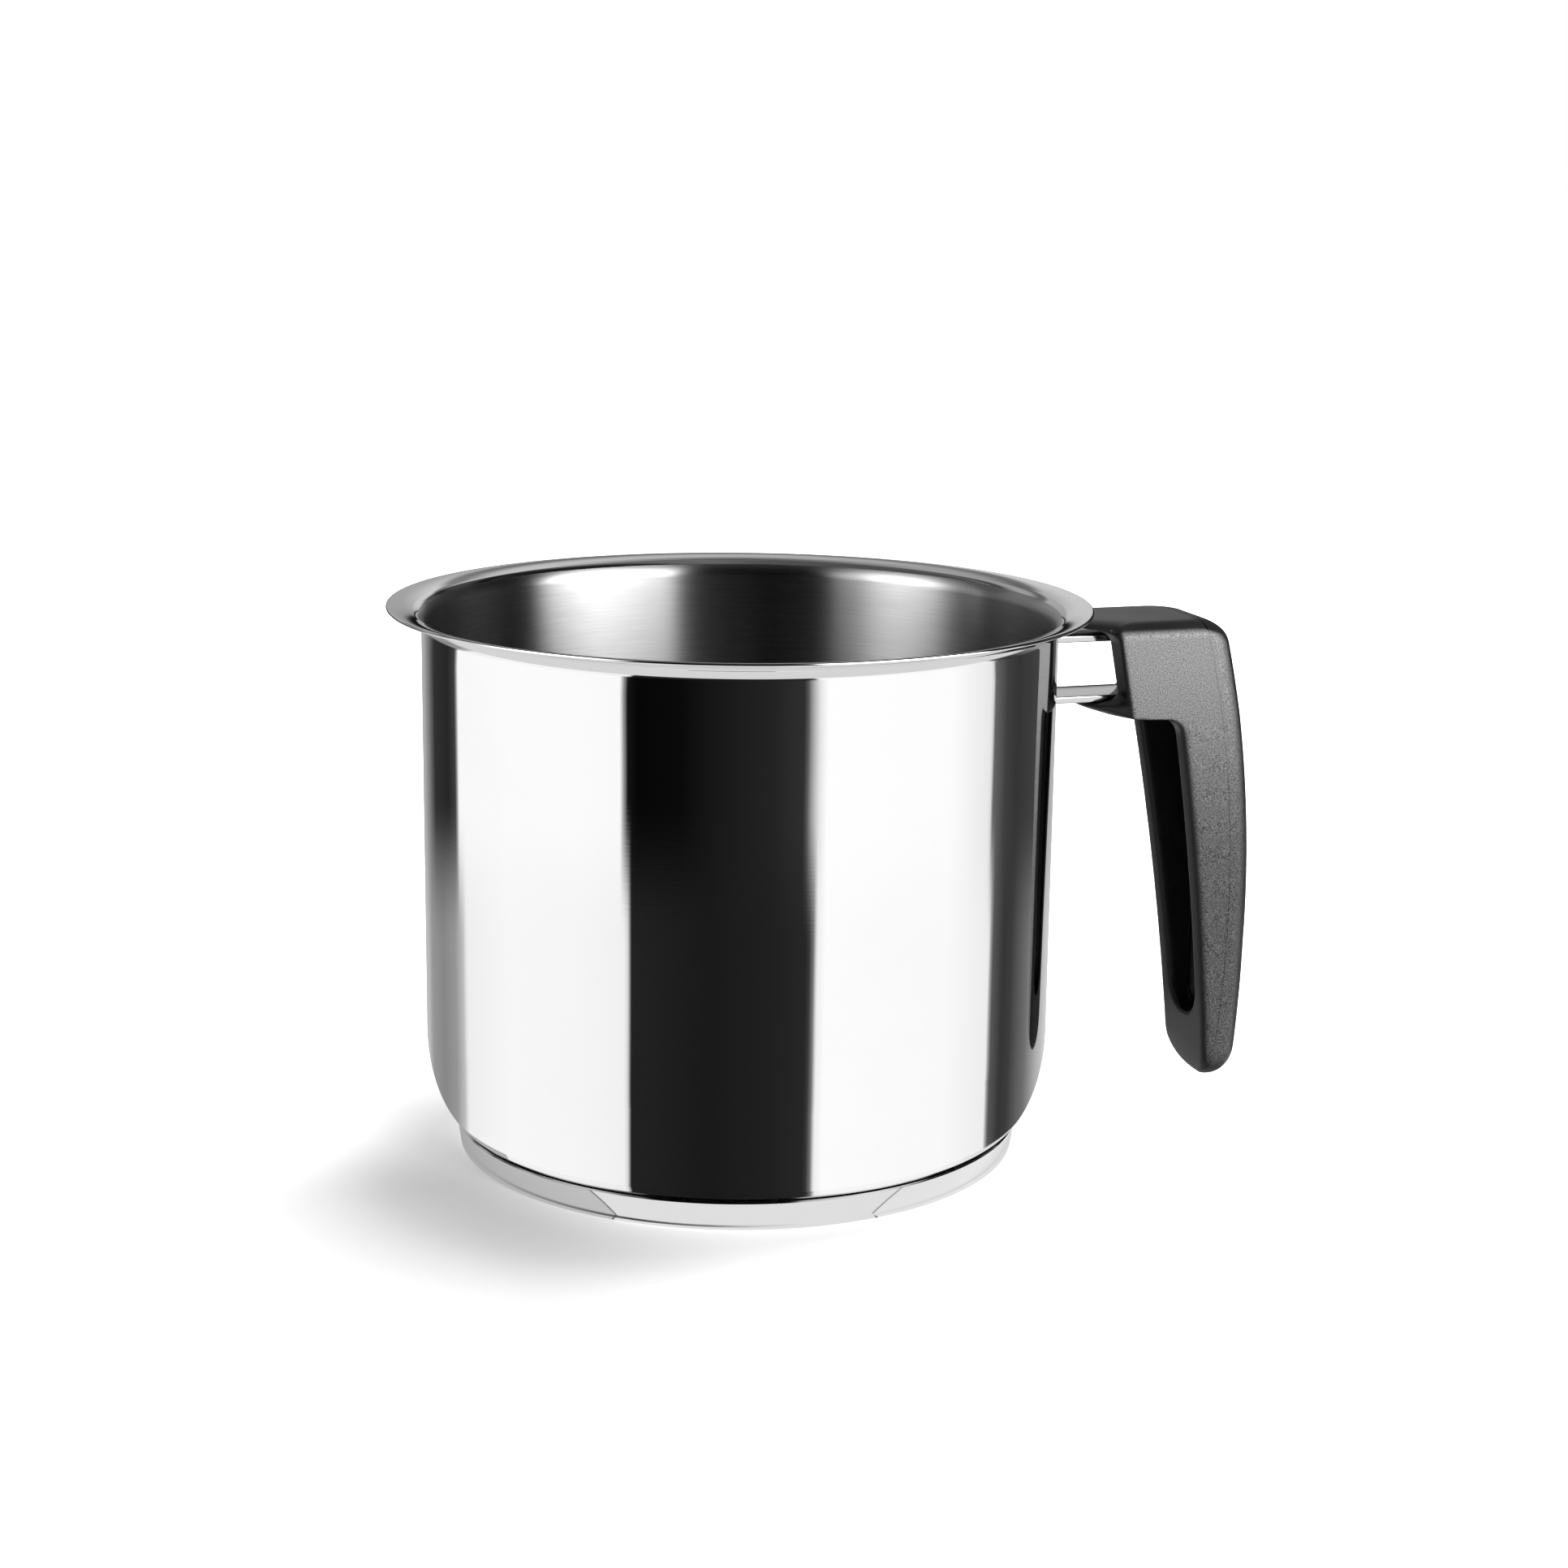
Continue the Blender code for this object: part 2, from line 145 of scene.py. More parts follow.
sweep = 12
floor_mesh = bpy.data.meshes.new("floor")
floor_corners = [(-sweep, -sweep, 0), (sweep, -sweep, 0), (sweep, sweep, 0), (-sweep, sweep, 0)]
floor_mesh.from_pydata(floor_corners, [], [(0, 1, 2, 3)])
floor = placed("floor", floor_mesh)
floor.location.z = -0.0001
floor.visible_glossy = False
material, tree, output = new_material("white_sweep")
path = add(tree, "ShaderNodeLightPath")
paper = add(tree, "ShaderNodeBsdfDiffuse", {"Color": (0.8, 0.8, 0.8, 1)})
spot = own_place(tree)
reach = add(tree, "ShaderNodeVectorMath", {0: spot}, operation="LENGTH").outputs["Value"]
x, y, z = add(tree, "ShaderNodeSeparateXYZ", {0: spot}).outputs

# Painted light: the paper also glows for the camera. The glow is least beside the pot, in its shadow, and
# more outwards, towards the handle and behind the pot, where the painted glow washes the shadow out. Each
# row is a place, a range over it and the rise there.
painted_floor_glow = 0.26
for place, low, high, rise in ((reach, 0.07, 0.105, 0.25), (reach, 0.10, 0.20, 0.35),
                               (reach, 0.5, 2.0, 0.4), (x, -0.07, -0.01, 0.4), (y, -0.02, 0.03, 0.35)):
    painted_floor_glow = maths(tree, "MULTIPLY_ADD", smooth_step(tree, place, low, high), rise, painted_floor_glow)
painted_floor_glow = maths(tree, "MULTIPLY", path.outputs["Is Camera Ray"], painted_floor_glow)
glow = add(tree, "ShaderNodeEmission", {"Strength": painted_floor_glow})
both = add(tree, "ShaderNodeAddShader", {0: paper.outputs[0], 1: glow.outputs[0]})
tree.links.new(both.outputs[0], output.inputs["Surface"])
floor_mesh.materials.append(material)


# Lamps
# A broad soft lamp high behind the right side throws the soft shadow to the left and forwards. A
# second one, low on the camera's right, lights the near sides. The steel mirrors neither of them.
lamps = (("key", (0.36, 0.40, 1.75), 1.0, 32), ("front", (1.1, -1.75, 0.45), 0.8, 32))
for name, spot, size, power in lamps:
    lamp = bpy.data.lights.new(name, "AREA")
    lamp.shape = "DISK"
    lamp.size = size
    lamp.energy = power
    held = placed(name, lamp)
    held.location = from_camera_side(*spot)
    held.rotation_euler = (-held.location).to_track_quat("-Z", "Y").to_euler()
    held.visible_glossy = False
    held.visible_camera = False


# Pot body
# Deep-drawn 0.8 mm stainless sheet with a wide corner at the floor and a flared pouring rim whose
# cut edge is rounded. Mirror-polished outside and on the flare, brushed round and round inside.
sheet, gap = 0.0008, 0.0003
outer_radius, rim_radius, rim_height = 0.0708, 0.0784, 0.1242
corner_reach, corner_height = 0.0106, 0.022
bend_radius, rim_slope, flare_crown = 0.0032, np.radians(12), 0.00012
bend_rows, flare_rows, polished_bend_rows = 14, 12, 5
pole_radius = 0.0002
body_steps = 288

# The corner lies a gap over the base cap's lip, which sets the height of the floor.
cap_height, cap_setback, cap_sheet, lip_drop = 0.0066, 0.0065, 0.0006, 0.0002
lip_place = 1 - (cap_setback + cap_sheet) / corner_reach
floor_height = cap_height - lip_drop + gap - corner_height * (1 - np.sqrt(1 - lip_place ** 2))


def grid_mesh(name, points, closed_around=False, closed_along=False):
    """A mesh over a grid of points, shaped (along, around, 3), with quads between neighbours.

    The grid may close on itself in either direction.
    """
    along, around = points.shape[:2]
    index = np.arange(along * around).reshape(along, around)
    i = np.arange(along if closed_along else along - 1)[:, None]
    j = np.arange(around if closed_around else around - 1)[None, :]
    i2, j2 = (i + 1) % along, (j + 1) % around
    quads = np.stack([index[i, j], index[i, j2], index[i2, j2], index[i2, j]], -1).reshape(-1, 4)
    mesh = bpy.data.meshes.new(name)
    mesh.vertices.add(along * around)
    mesh.vertices.foreach_set("co", points.astype(np.float32).ravel())
    mesh.loops.add(quads.size)
    mesh.loops.foreach_set("vertex_index", quads.astype(np.int32).ravel())
    mesh.polygons.add(len(quads))
    mesh.polygons.foreach_set("loop_start", np.arange(0, quads.size, 4, dtype=np.int32))
    mesh.update(calc_edges=True)
    mesh.validate()
    return mesh


def body_path():
    """The sheet's outer face as (radius, height, heading) rows.

    It runs along the flat floor, round a quarter of an ellipse, up the wall, round the bend
    under the rim and out along the flare, which is crowned by a tenth of a millimetre.
    """
    angle = np.linspace(0, np.pi / 2, 30)
    corner = np.stack([outer_radius - corner_reach * (1 - np.sin(angle)),
                       floor_height + corner_height * (1 - np.cos(angle)),
                       np.arctan2(corner_height * np.sin(angle), corner_reach * np.cos(angle))], 1)
    edge = rim_radius - sheet / 2 * (1 - np.sin(rim_slope))
    run = edge - outer_radius - bend_radius * (1 - np.sin(rim_slope))
    rise = bend_radius * np.cos(rim_slope) + run * np.tan(rim_slope)
    wall_top = rim_height - rise - sheet / 2 * (1 + np.cos(rim_slope))
    turn = np.linspace(np.pi, np.pi / 2 + rim_slope, bend_rows)
    bend = np.stack([outer_radius + bend_radius * (1 + np.cos(turn)),
                     wall_top + bend_radius * np.sin(turn), turn - np.pi / 2], 1)
    radii = np.linspace(pole_radius, corner[0, 0], 26)[:-1]
    floor = np.stack([radii, np.full_like(radii, floor_height), np.zeros_like(radii)], 1)
    heights = np.linspace(corner[-1, 1], wall_top, 26)[1:-1]
    wall = np.stack([np.full_like(heights, outer_radius), heights, np.full_like(heights, np.pi / 2)], 1)
    share = np.linspace(0, 1, flare_rows + 1)[1:]
    flare_reach, flare_rise = edge - bend[-1, 0], wall_top + rise - bend[-1, 1]
    crowned = 4 * flare_crown * share * (1 - share)
    slope = np.arctan(np.tan(rim_slope) + 4 * flare_crown * (1 - 2 * share) / flare_reach)
    flare = np.stack([bend[-1, 0] + flare_reach * share,
                      bend[-1, 1] + flare_rise * share + crowned, slope], 1)
    return np.concatenate([floor, corner, wall, bend, flare])


def turned_surface(name, radii, heights, steps):
    """A closed profile carried once round the z axis.

    The distance along the profile is kept as an attribute.
    """
    turn = np.linspace(0, 2 * np.pi, steps, endpoint=False)
    points = np.stack([radii[:, None] * np.cos(turn), radii[:, None] * np.sin(turn),
                       np.repeat(heights[:, None], steps, 1)], -1)
    mesh = grid_mesh(name, points, closed_around=True, closed_along=True)
    step = np.hypot(np.diff(radii), np.diff(heights))
    distance = np.repeat(np.concatenate([[0], np.cumsum(step)]), steps)
    mesh.attributes.new("along", "FLOAT", "POINT").data.foreach_set("value", distance.astype(np.float32))
    mesh.shade_smooth()
    return mesh


def dressed(name, mesh, node):
    """A new piece that stands for a CAD node and rides on the body with it."""
    piece = placed(name, mesh)
    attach(piece, "root")
    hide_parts(node)
    return piece


line = body_path()
outside = line[:, :2]
inside = outside + sheet * np.stack([-np.sin(line[:, 2]), np.cos(line[:, 2])], 1)
middle = (outside[-1] + inside[-1]) / 2
swing = line[-1, 2] - np.pi / 2 + np.pi * np.linspace(0, 1, 9)[1:-1]
lip = middle + sheet / 2 * np.stack([np.cos(swing), np.sin(swing)], 1)
profile = np.concatenate([outside, lip, inside[::-1]])
mesh = turned_surface("pot_body_skin", profile[:, 0], profile[:, 1], body_steps)
pot = dressed("pot_body_skin", mesh, "pot_body")


def group(name, inputs, outputs):
    """An empty node group with named float sockets, and its input and output nodes."""
    made = bpy.data.node_groups.new(name, "ShaderNodeTree")
    for socket, kind, value in inputs:
        item = made.interface.new_socket(socket, in_out="INPUT", socket_type="NodeSocket" + kind)
        if value is not None:
            item.default_value = value
    for socket, kind in outputs:
        made.interface.new_socket(socket, in_out="OUTPUT", socket_type="NodeSocket" + kind)
    return made, made.nodes.new("NodeGroupInput"), made.nodes.new("NodeGroupOutput")


def noise(tree, where, scale, detail, roughness=0.5):
    """The value of a noise texture at a place."""
    return add(tree, "ShaderNodeTexNoise", {
        "Vector": where, "Scale": scale, "Detail": detail, "Roughness": roughness}).outputs["Fac"]


def stretched_noise(tree, where, scales, detail):
    """Noise with its own number of features per metre along each axis."""
    drawn = add(tree, "ShaderNodeMapping", {"Vector": where, "Scale": scales})
    return noise(tree, drawn.outputs[0], 1.0, detail)


def relief(tree, height, strength, distance, under=None):
    """Normals bent by a height, on top of the normals of a coarser relief where one is given."""
    inputs = {"Height": height, "Strength": strength, "Distance": distance}
    if under is not None:
        inputs["Normal"] = under
    return add(tree, "ShaderNodeBump", inputs).outputs[0]


def grey_colour(tree, shade, blue_share=1.0):
    """A grey of that shade, its blue scaled by a share."""
    blue = maths(tree, "MULTIPLY", shade, blue_share)
    return add(tree, "ShaderNodeCombineColor", {0: shade, 1: shade, 2: blue}).outputs[0]


def principled(tree, output, inputs):
    """The material's surface, a Principled shader with those inputs."""
    shader = add(tree, "ShaderNodeBsdfPrincipled", inputs)
    tree.links.new(shader.outputs[0], output.inputs["Surface"])


# Handling marks that the polished pieces and the strap share: faint hairlines and small smudges.
marks, given, result = group("steel_marks", [("Scale", "Float", 1.0)],
                             [("Smudge", "Float"), ("Hairline", "Float")])
where = own_place(marks)
smudge_scale = maths(marks, "MULTIPLY", given.outputs["Scale"], 45.0)
smudge = noise(marks, where, smudge_scale, 5.0, roughness=0.6)
marks.links.new(smooth_step(marks, smudge, 0.45, 0.75), result.inputs["Smudge"])
fine = stretched_noise(marks, where, (25.0, 25.0, 2200.0), 3.0)
marks.links.new(smooth_step(marks, fine, 0.35, 0.75), result.inputs["Hairline"])


def polished_steel(name, grey, roughness):
    """Mirror-polished stainless: a smooth metal, barely wavy, with faint smudges and polishing lines."""
    material, tree, output = new_material(name)
    wear = add(tree, "ShaderNodeGroup", node_tree=marks)
    shade = maths(tree, "MULTIPLY_ADD", wear.outputs["Smudge"], -0.012, grey)
    rough = maths(tree, "MULTIPLY_ADD", wear.outputs["Smudge"], 0.02, roughness)
    where = own_place(tree)
    waves = relief(tree, noise(tree, where, 22.0, 1.0), 0.06, 0.0012)
    lines = relief(tree, wear.outputs["Hairline"], 0.02, 0.00002, under=waves)
    principled(tree, output, {"Base Color": grey_colour(tree, shade), "Roughness": rough, "Metallic": 1.0,
                              "Normal": lines})
    return material


def brushed_steel(name, grey, roughness, line_width):
    """Stainless brushed round its axis: the grooves follow the turn, so light streaks up the wall."""
    material, tree, output = new_material(name)
    where = own_place(tree)
    x, y, z = add(tree, "ShaderNodeSeparateXYZ", {0: where}).outputs
    flat = add(tree, "ShaderNodeCombineXYZ", {0: x, 1: y})
    facing = add(tree, "ShaderNodeVectorMath", {0: flat.outputs[0]}, operation="NORMALIZE").outputs[0]
    u, v, w = add(tree, "ShaderNodeSeparateXYZ", {0: facing}).outputs
    along = add(tree, "ShaderNodeAttribute", attribute_name="along").outputs["Fac"]
    depth = maths(tree, "MULTIPLY", along, 1 / line_width)

    def drawn_out(round_scale, depth_scale, detail):
        """Noise that changes slowly round the axis and fast along the profile."""
        spread = add(tree, "ShaderNodeCombineXYZ", {
            0: maths(tree, "MULTIPLY", u, round_scale), 1: maths(tree, "MULTIPLY", v, round_scale),
            2: maths(tree, "MULTIPLY", depth, depth_scale)})
        return noise(tree, spread.outputs[0], 1.0, detail)

    streak, groove = drawn_out(3.0, 0.25, 4.0), drawn_out(5.0, 1.0, 5.0)
    shade = maths(tree, "MULTIPLY_ADD", maths(tree, "SUBTRACT", groove, 0.5), 0.20, grey)
    rough = maths(tree, "MULTIPLY_ADD", maths(tree, "SUBTRACT", streak, 0.5), 0.06, roughness)
    axis = add(tree, "ShaderNodeTangent", direction_type="RADIAL", axis="Z")
    principled(tree, output, {
        "Base Color": grey_colour(tree, shade), "Roughness": rough, "Metallic": 1.0, "Anisotropic": 0.98,
        "Anisotropic Rotation": 0.25, "Normal": relief(tree, groove, 0.012, 0.00002),
        "Tangent": axis.outputs[0]})
    return material


pot.data.materials.append(polished_steel("mirror_steel", grey=0.95, roughness=0.025))
pot.data.materials.append(brushed_steel("brushed_inside", grey=0.56, roughness=0.31, line_width=0.00035))
wall_inside_top = len(outside) + len(lip) + flare_rows + polished_bend_rows
rows = np.arange(len(profile))
finish_of_row = (rows >= wall_inside_top).astype(np.int32)
mesh.polygons.foreach_set("material_index", np.repeat(finish_of_row, body_steps))


# Base cap
# A shallow steel cap pressed over the aluminium disc and brazed under the body's corner. Its lower
# edge is rolled tight and its lip ends in a fine bright bevel at the seam.
cap_top = outer_radius - cap_setback
cap_taper, roll_radius, lip_bevel, bevel_step = 0.0008, 0.0009, 0.0003, 0.00003
roll_centre = cap_top - cap_taper - roll_radius
swing = np.radians(np.linspace(-90, 0, 9))[:, None]
rolled = np.hstack([np.cos(swing), 1 + np.sin(swing)])
outer_side = np.array([[roll_centre, 0.0]]) + roll_radius * rolled
inner_side = np.array([[roll_centre, cap_sheet]]) + (roll_radius - cap_sheet) * rolled
lip = np.array([[cap_top - bevel_step, cap_height - lip_bevel], [cap_top - lip_bevel, cap_height],
                [cap_top - cap_sheet, cap_height - lip_drop]])
cap_profile = np.concatenate([[[pole_radius, 0.0]], outer_side, lip, inner_side[::-1],
                              [[pole_radius, cap_sheet]]])
mesh = turned_surface("base_cap_skin", cap_profile[:, 0], cap_profile[:, 1], steps=256)
cap = dressed("base_cap_skin", mesh, "base_cap")
mesh.set_sharp_from_angle(angle=np.radians(35))
cap.data.materials.append(polished_steel("base_steel", grey=0.93, roughness=0.10))


# Spreader disc
# A plain rolled aluminium disc, closed in by the cap and never seen from outside.
material, tree, output = new_material("spreader_aluminium")
where = own_place(tree)
rolling = stretched_noise(tree, where, (40.0, 2600.0, 40.0), 3.0)
shade = maths(tree, "MULTIPLY_ADD", rolling, 0.10, 0.76)
principled(tree, output, {
    "Base Color": grey_colour(tree, shade, blue_share=1.01), "Metallic": 1.0,
    "Roughness": maths(tree, "MULTIPLY_ADD", rolling, 0.2, 0.3),
    "Normal": relief(tree, rolling, 0.2, 0.00003)})
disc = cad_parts["heat_spreader_disc"]
disc.data.materials.clear()
disc.data.materials.append(material)


# Handle bracket
# One steel strap, 13 x 1.6 mm, bent into a U. Its web is pressed to the wall's curve and
# spot-welded. Its arms run out into the handle, where the screw holds them.
strap_width, strap_thickness, strap_bend, strap_edge = 0.013, 0.0016, 0.0016, 0.00028
upper_arm, lower_arm = 0.1143, 0.1001
arm_reach, screw_reach, bore_radius = 0.104, 0.098, 0.0023
pressed_to, pressed_blend = 0.0795, 0.005
cut_overrun = 0.002
round_steps = 64


def lofted(name, rings):
    """A closed skin over a stack of rings, shaped (levels, around, 3), with flat ends."""
    levels, around = rings.shape[:2]
    index = np.arange(levels * around).reshape(levels, around)
    ahead_of = np.roll(index, -1, 1)
    quads = np.stack([index[:-1], ahead_of[:-1], ahead_of[1:], index[1:]], -1).reshape(-1, 4)
    faces = quads.tolist() + [index[0].tolist()[::-1], index[-1].tolist()]
    mesh = bpy.data.meshes.new(name)
    mesh.from_pydata(rings.reshape(-1, 3).tolist(), [], faces)
    mesh.update()
    return mesh


def cut_from(mesh, cutters, voxel=0.0, rounds=0):
    """The mesh less each cutter. With a voxel size it is remeshed and its edges are softened."""
    whole = placed("whole", mesh)
    helpers = [whole]
    for cutter in cutters:
        helper = placed("cutter", cutter)
        helpers.append(helper)
        cut = whole.modifiers.new("cut", "BOOLEAN")
        cut.operation = "DIFFERENCE"
        cut.solver = "EXACT"
        cut.object = helper
    if voxel:
        remesh = whole.modifiers.new("remesh", "REMESH")
        remesh.mode = "VOXEL"
        remesh.voxel_size = voxel
        soften = whole.modifiers.new("soften", "SMOOTH")
        soften.factor = 0.5
        soften.iterations = rounds
    ready = whole.evaluated_get(bpy.context.evaluated_depsgraph_get())
    made = bpy.data.meshes.new_from_object(ready)
    for helper in helpers:
        bpy.data.objects.remove(helper, do_unlink=True)
    made.shade_smooth()
    return made


def screw_bore(name, radius, bottom, top):
    """A cylinder about the screw's upright axis, from which its bores are cut."""
    turn = np.linspace(0, 2 * np.pi, round_steps, endpoint=False)
    circle = np.stack([screw_reach + radius * np.cos(turn), radius * np.sin(turn)], -1)
    ends = [np.column_stack([circle, np.full(round_steps, height)]) for height in (bottom, top)]
    return lofted(name, np.stack(ends))


# The middle of the strap as (reach, height, heading) rows, along the upper arm to the wall, down the
# web and out along the lower arm.
web = outer_radius + gap + strap_thickness / 2
bend = strap_bend + strap_thickness / 2
top_line, bottom_line = upper_arm - strap_thickness / 2, lower_arm - strap_thickness / 2
turn = np.linspace(np.pi / 2, np.pi, 12)
bend_reach, bend_rise = web + bend + bend * np.cos(turn), bend * np.sin(turn)
upper_bend = np.stack([bend_reach, top_line - bend + bend_rise, turn + np.pi / 2], -1)
lower_bend = np.stack([bend_reach, bottom_line + bend - bend_rise, 5 * np.pi / 2 - turn], -1)[::-1]
arm = np.linspace(arm_reach, web + bend, 24)[:-1]
upper = np.stack([arm, np.full_like(arm, top_line), np.full_like(arm, np.pi)], -1)
lower = np.stack([arm, np.full_like(arm, bottom_line), np.full_like(arm, 2 * np.pi)], -1)[::-1]
strap_line = np.concatenate([upper, upper_bend, lower_bend, lower])

# The strap's section is a flat bar with rounded edges, carried along that line.
swing = np.linspace(0, np.pi / 2, 5)
across = np.concatenate([side * (strap_thickness / 2 - strap_edge) + strap_edge * np.cos(swing + start)
                         for side, start in ((1, 0), (-1, np.pi / 2), (-1, np.pi), (1, 3 * np.pi / 2))])
wide = np.concatenate([side * (strap_width / 2 - strap_edge) + strap_edge * np.sin(swing + start)
                       for side, start in ((1, 0), (1, np.pi / 2), (-1, np.pi), (-1, 3 * np.pi / 2))])
heading = strap_line[:, 2:3]
strap_x = strap_line[:, :1] - np.sin(heading) * across
strap_z = strap_line[:, 1:2] + np.cos(heading) * across
pressed = np.clip((pressed_to - strap_x) / pressed_blend, 0, 1)
wall_curve = outer_radius - np.sqrt(outer_radius ** 2 - wide ** 2)
rings = np.stack([strap_x - pressed * wall_curve, np.broadcast_to(wide, strap_x.shape), strap_z], -1)
strap_bore = screw_bore("strap_bore", bore_radius, lower_arm - 2 * cut_overrun, upper_arm + cut_overrun)
mesh = cut_from(lofted("handle_bracket_skin", rings), [strap_bore])
mesh.name = "handle_bracket_skin"
mesh.set_sharp_from_angle(angle=np.radians(40))
bracket = dressed("handle_bracket_skin", mesh, "handle_bracket")

material, tree, output = new_material("strap_steel")
wear = add(tree, "ShaderNodeGroup", node_tree=marks)
where = own_place(tree)
drawn_lines = stretched_noise(tree, where, (60.0, 5200.0, 5200.0), 3.0)
blotch = noise(tree, where, 420.0, 4.0)
shade = maths(tree, "MULTIPLY_ADD", drawn_lines, 0.08, 0.62)
shade = maths(tree, "MULTIPLY_ADD", wear.outputs["Smudge"], -0.05, shade)
dents = relief(tree, blotch, 0.10, 0.0001)
principled(tree, output, {
    "Base Color": grey_colour(tree, shade), "Roughness": maths(tree, "MULTIPLY_ADD", blotch, 0.06, 0.07),
    "Metallic": 1.0, "Normal": relief(tree, drawn_lines, 0.10, 0.00003, under=dents)})
bracket.data.materials.append(material)


# Handle
# One phenolic moulding. A hollow head takes both arms of the strap, a curved grip hangs from it,
# and its inner side is moulded out as a channel. The mould's parting line runs along both sides.
handle_width, handle_width_at_tip, handle_tip, handle_top = 0.030, 0.0224, 0.0042, 0.1178
tip_round = 0.009
belly_height, belly_reach, belly_radius = 0.042, 0.1242, 0.289
side_round, side_round_height = 0.005, 0.0035
outer_round, outer_round_height = 0.0062, 0.0056
roof_round, roof_round_height = 0.006, 0.0016
grip_reach, grip_sweep, grip_bow, grip_fillet = 0.1022, 0.0119, 0.45, 0.004
corner_radius, grip_edge, head_edge = 0.006, 0.0018, 0.0010
slot_floors = (lower_arm - strap_thickness - gap, upper_arm - strap_thickness - gap)
slot_height = strap_thickness + 2 * gap
under_slot, roof_over_slot, head_step = 0.0026, 0.0014, 0.0005
head_underside = slot_floors[0] - under_slot
grip_top = head_underside - head_step
upper_lip = slot_floors[1] + slot_height + roof_over_slot
lower_lip_round, lower_lip_fall, upper_lip_round = 0.0028, 0.0022, 0.003
nose, head_start, head_lean = 0.0085, 0.019, 0.0042
near_flat, far_setback = 0.006, 0.010
lip_loss, lip_loss_share = 0.9, 0.3


def quarter_round(share):
    """Inward step of an elliptical round, as a share of its width, at a share of its height."""
    return 1 - np.sqrt(1 - np.clip(share, 0, 1) ** 2)


def down_the_grip(height):
    """0 where the grip meets the head and 1 at its tip."""
    return np.clip((grip_top - height) / (grip_top - handle_tip), 0, 1)


def half_width(height):
    """Half the handle's width. It narrows evenly to the tip and is rounded at the top."""
    narrowing = (handle_width - handle_width_at_tip) / 2 * down_the_grip(height)
    rounding = side_round * quarter_round((height - handle_top + side_round_height) / side_round_height)
    return handle_width / 2 - narrowing - rounding


def outer_reach(height):
    """Reach of the outer face: a long arc about the belly, rounded at the top."""
    sweep = (height - belly_height) ** 2 / (2 * belly_radius)
    rounding = outer_round * quarter_round((height - handle_top + outer_round_height) / outer_round_height)
    return belly_reach - sweep - rounding


def grip_inner(height):
    """Reach of the grip's inner face, swept back to the tip, with the fillet into the head."""
    down = down_the_grip(height)
    sweep = grip_sweep * down * (1 + grip_bow * (1 - down))
    return grip_reach + sweep - grip_fillet * quarter_round((height - grip_top + grip_fillet) / grip_fillet)


def lip_share(height):
    """How far the lips under and over the arms stand out, from 0 to 1."""
    below = 1 - quarter_round((slot_floors[0] - height) / lower_lip_round)
    falling = 1 - np.sqrt(np.clip((height - slot_floors[0]) / lower_lip_fall, 0, 1))
    between = np.maximum(falling, quarter_round((height - upper_lip + upper_lip_round) / upper_lip_round))
    return np.where(height <= slot_floors[0], below, np.where(height >= upper_lip, 1.0, between))


def plan(inner_x, inner_y, half, outer, inner_radius):
    """Outlines of many levels: inner end, far corner, rounded outer end and near corner.

    The outer corners are rounded less where the handle is narrow or shallow.
    """
    radius = np.minimum(np.minimum(corner_radius, half * 0.6), (outer - inner_x[:, -1:]) * 0.45)
    inset = np.minimum(inner_radius, radius)
    eased = np.linspace(0, np.pi / 2, 6)
    swing = np.linspace(0, np.pi / 2, 14)
    corner_x, corner_y = outer - radius + radius * np.cos(swing), half - radius + radius * np.sin(swing)
    edge_x, edge_y = inset * (1 - np.sin(eased)), half - inset * (1 - np.cos(eased))
    x = np.hstack([inner_x[:, :1] + edge_x[:, :-1], inner_x, inner_x[:, -1:] + edge_x[:, -2::-1],
                   corner_x[:, ::-1], corner_x])
    y = np.hstack([-edge_y[:, :-1], inner_y * (half - inset) / half, edge_y[:, -2::-1],
                   corner_y[:, ::-1], -corner_y])
    return x, y


def level_rings(height, x, y):
    """The outlines, each at its own height."""
    return np.stack([x, y, np.broadcast_to(height, x.shape)], -1)


def rounded_end(height, end, reach):
    """Share of the full size at a height, where the form ends in half an ellipse of that reach."""
    return np.sqrt(1 - np.clip(1 - (height - end) / reach, 0, 1) ** 2)


across = np.linspace(-1, 1, 41)
sunk = 1 - np.cos(np.linspace(0.02, np.pi / 2, 26))
fillet_foot = grip_top - grip_fillet
z = np.concatenate([handle_tip + tip_round * sunk, np.linspace(handle_tip + tip_round, fillet_foot, 80)[1:],
                    fillet_foot + grip_fillet * np.sin(np.linspace(0, np.pi / 2, 12))[1:]])[:, None]
keep = rounded_end(z, handle_tip, tip_round)
middle, depth = (grip_inner(z) + outer_reach(z)) / 2, (outer_reach(z) - grip_inner(z)) / 2 * keep
half = half_width(z) * keep
inner_x = np.repeat(middle - depth, len(across), 1)
grip_rings = level_rings(z, *plan(inner_x, half * across, half, middle + depth, grip_edge))

# The head's inner end leans back to the top. Beside the lower arm its lip is lost on the far side,
# where the end also steps back.
roof_rise = (handle_top - upper_lip) * np.sin(np.linspace(0, np.pi / 2, 14))[1:]
z = np.concatenate([[head_underside], np.linspace(head_underside, upper_lip, 70)[1:],
                    upper_lip + roof_rise])[:, None]
half = half_width(z)
over_slot = (z > slot_floors[0]) & (z < upper_lip)
lip = lip_share(z) * (1 - over_slot * lip_loss * np.clip(across, 0, lip_loss_share) / lip_loss_share)
end = outer_radius + head_start - head_lean * (z - head_underside) / (handle_top - head_underside)
end = end + roof_round * quarter_round((z - handle_top + roof_round_height) / roof_round_height)
past_flat = np.clip(half * across + handle_width / 2 - near_flat, 0, None) / (handle_width - near_flat)
inner_x = end + far_setback * past_flat * (1 - lip) - nose * lip * (1 - across ** 2)
head_rings = level_rings(z, *plan(inner_x, half * across, half, outer_reach(z), head_edge))

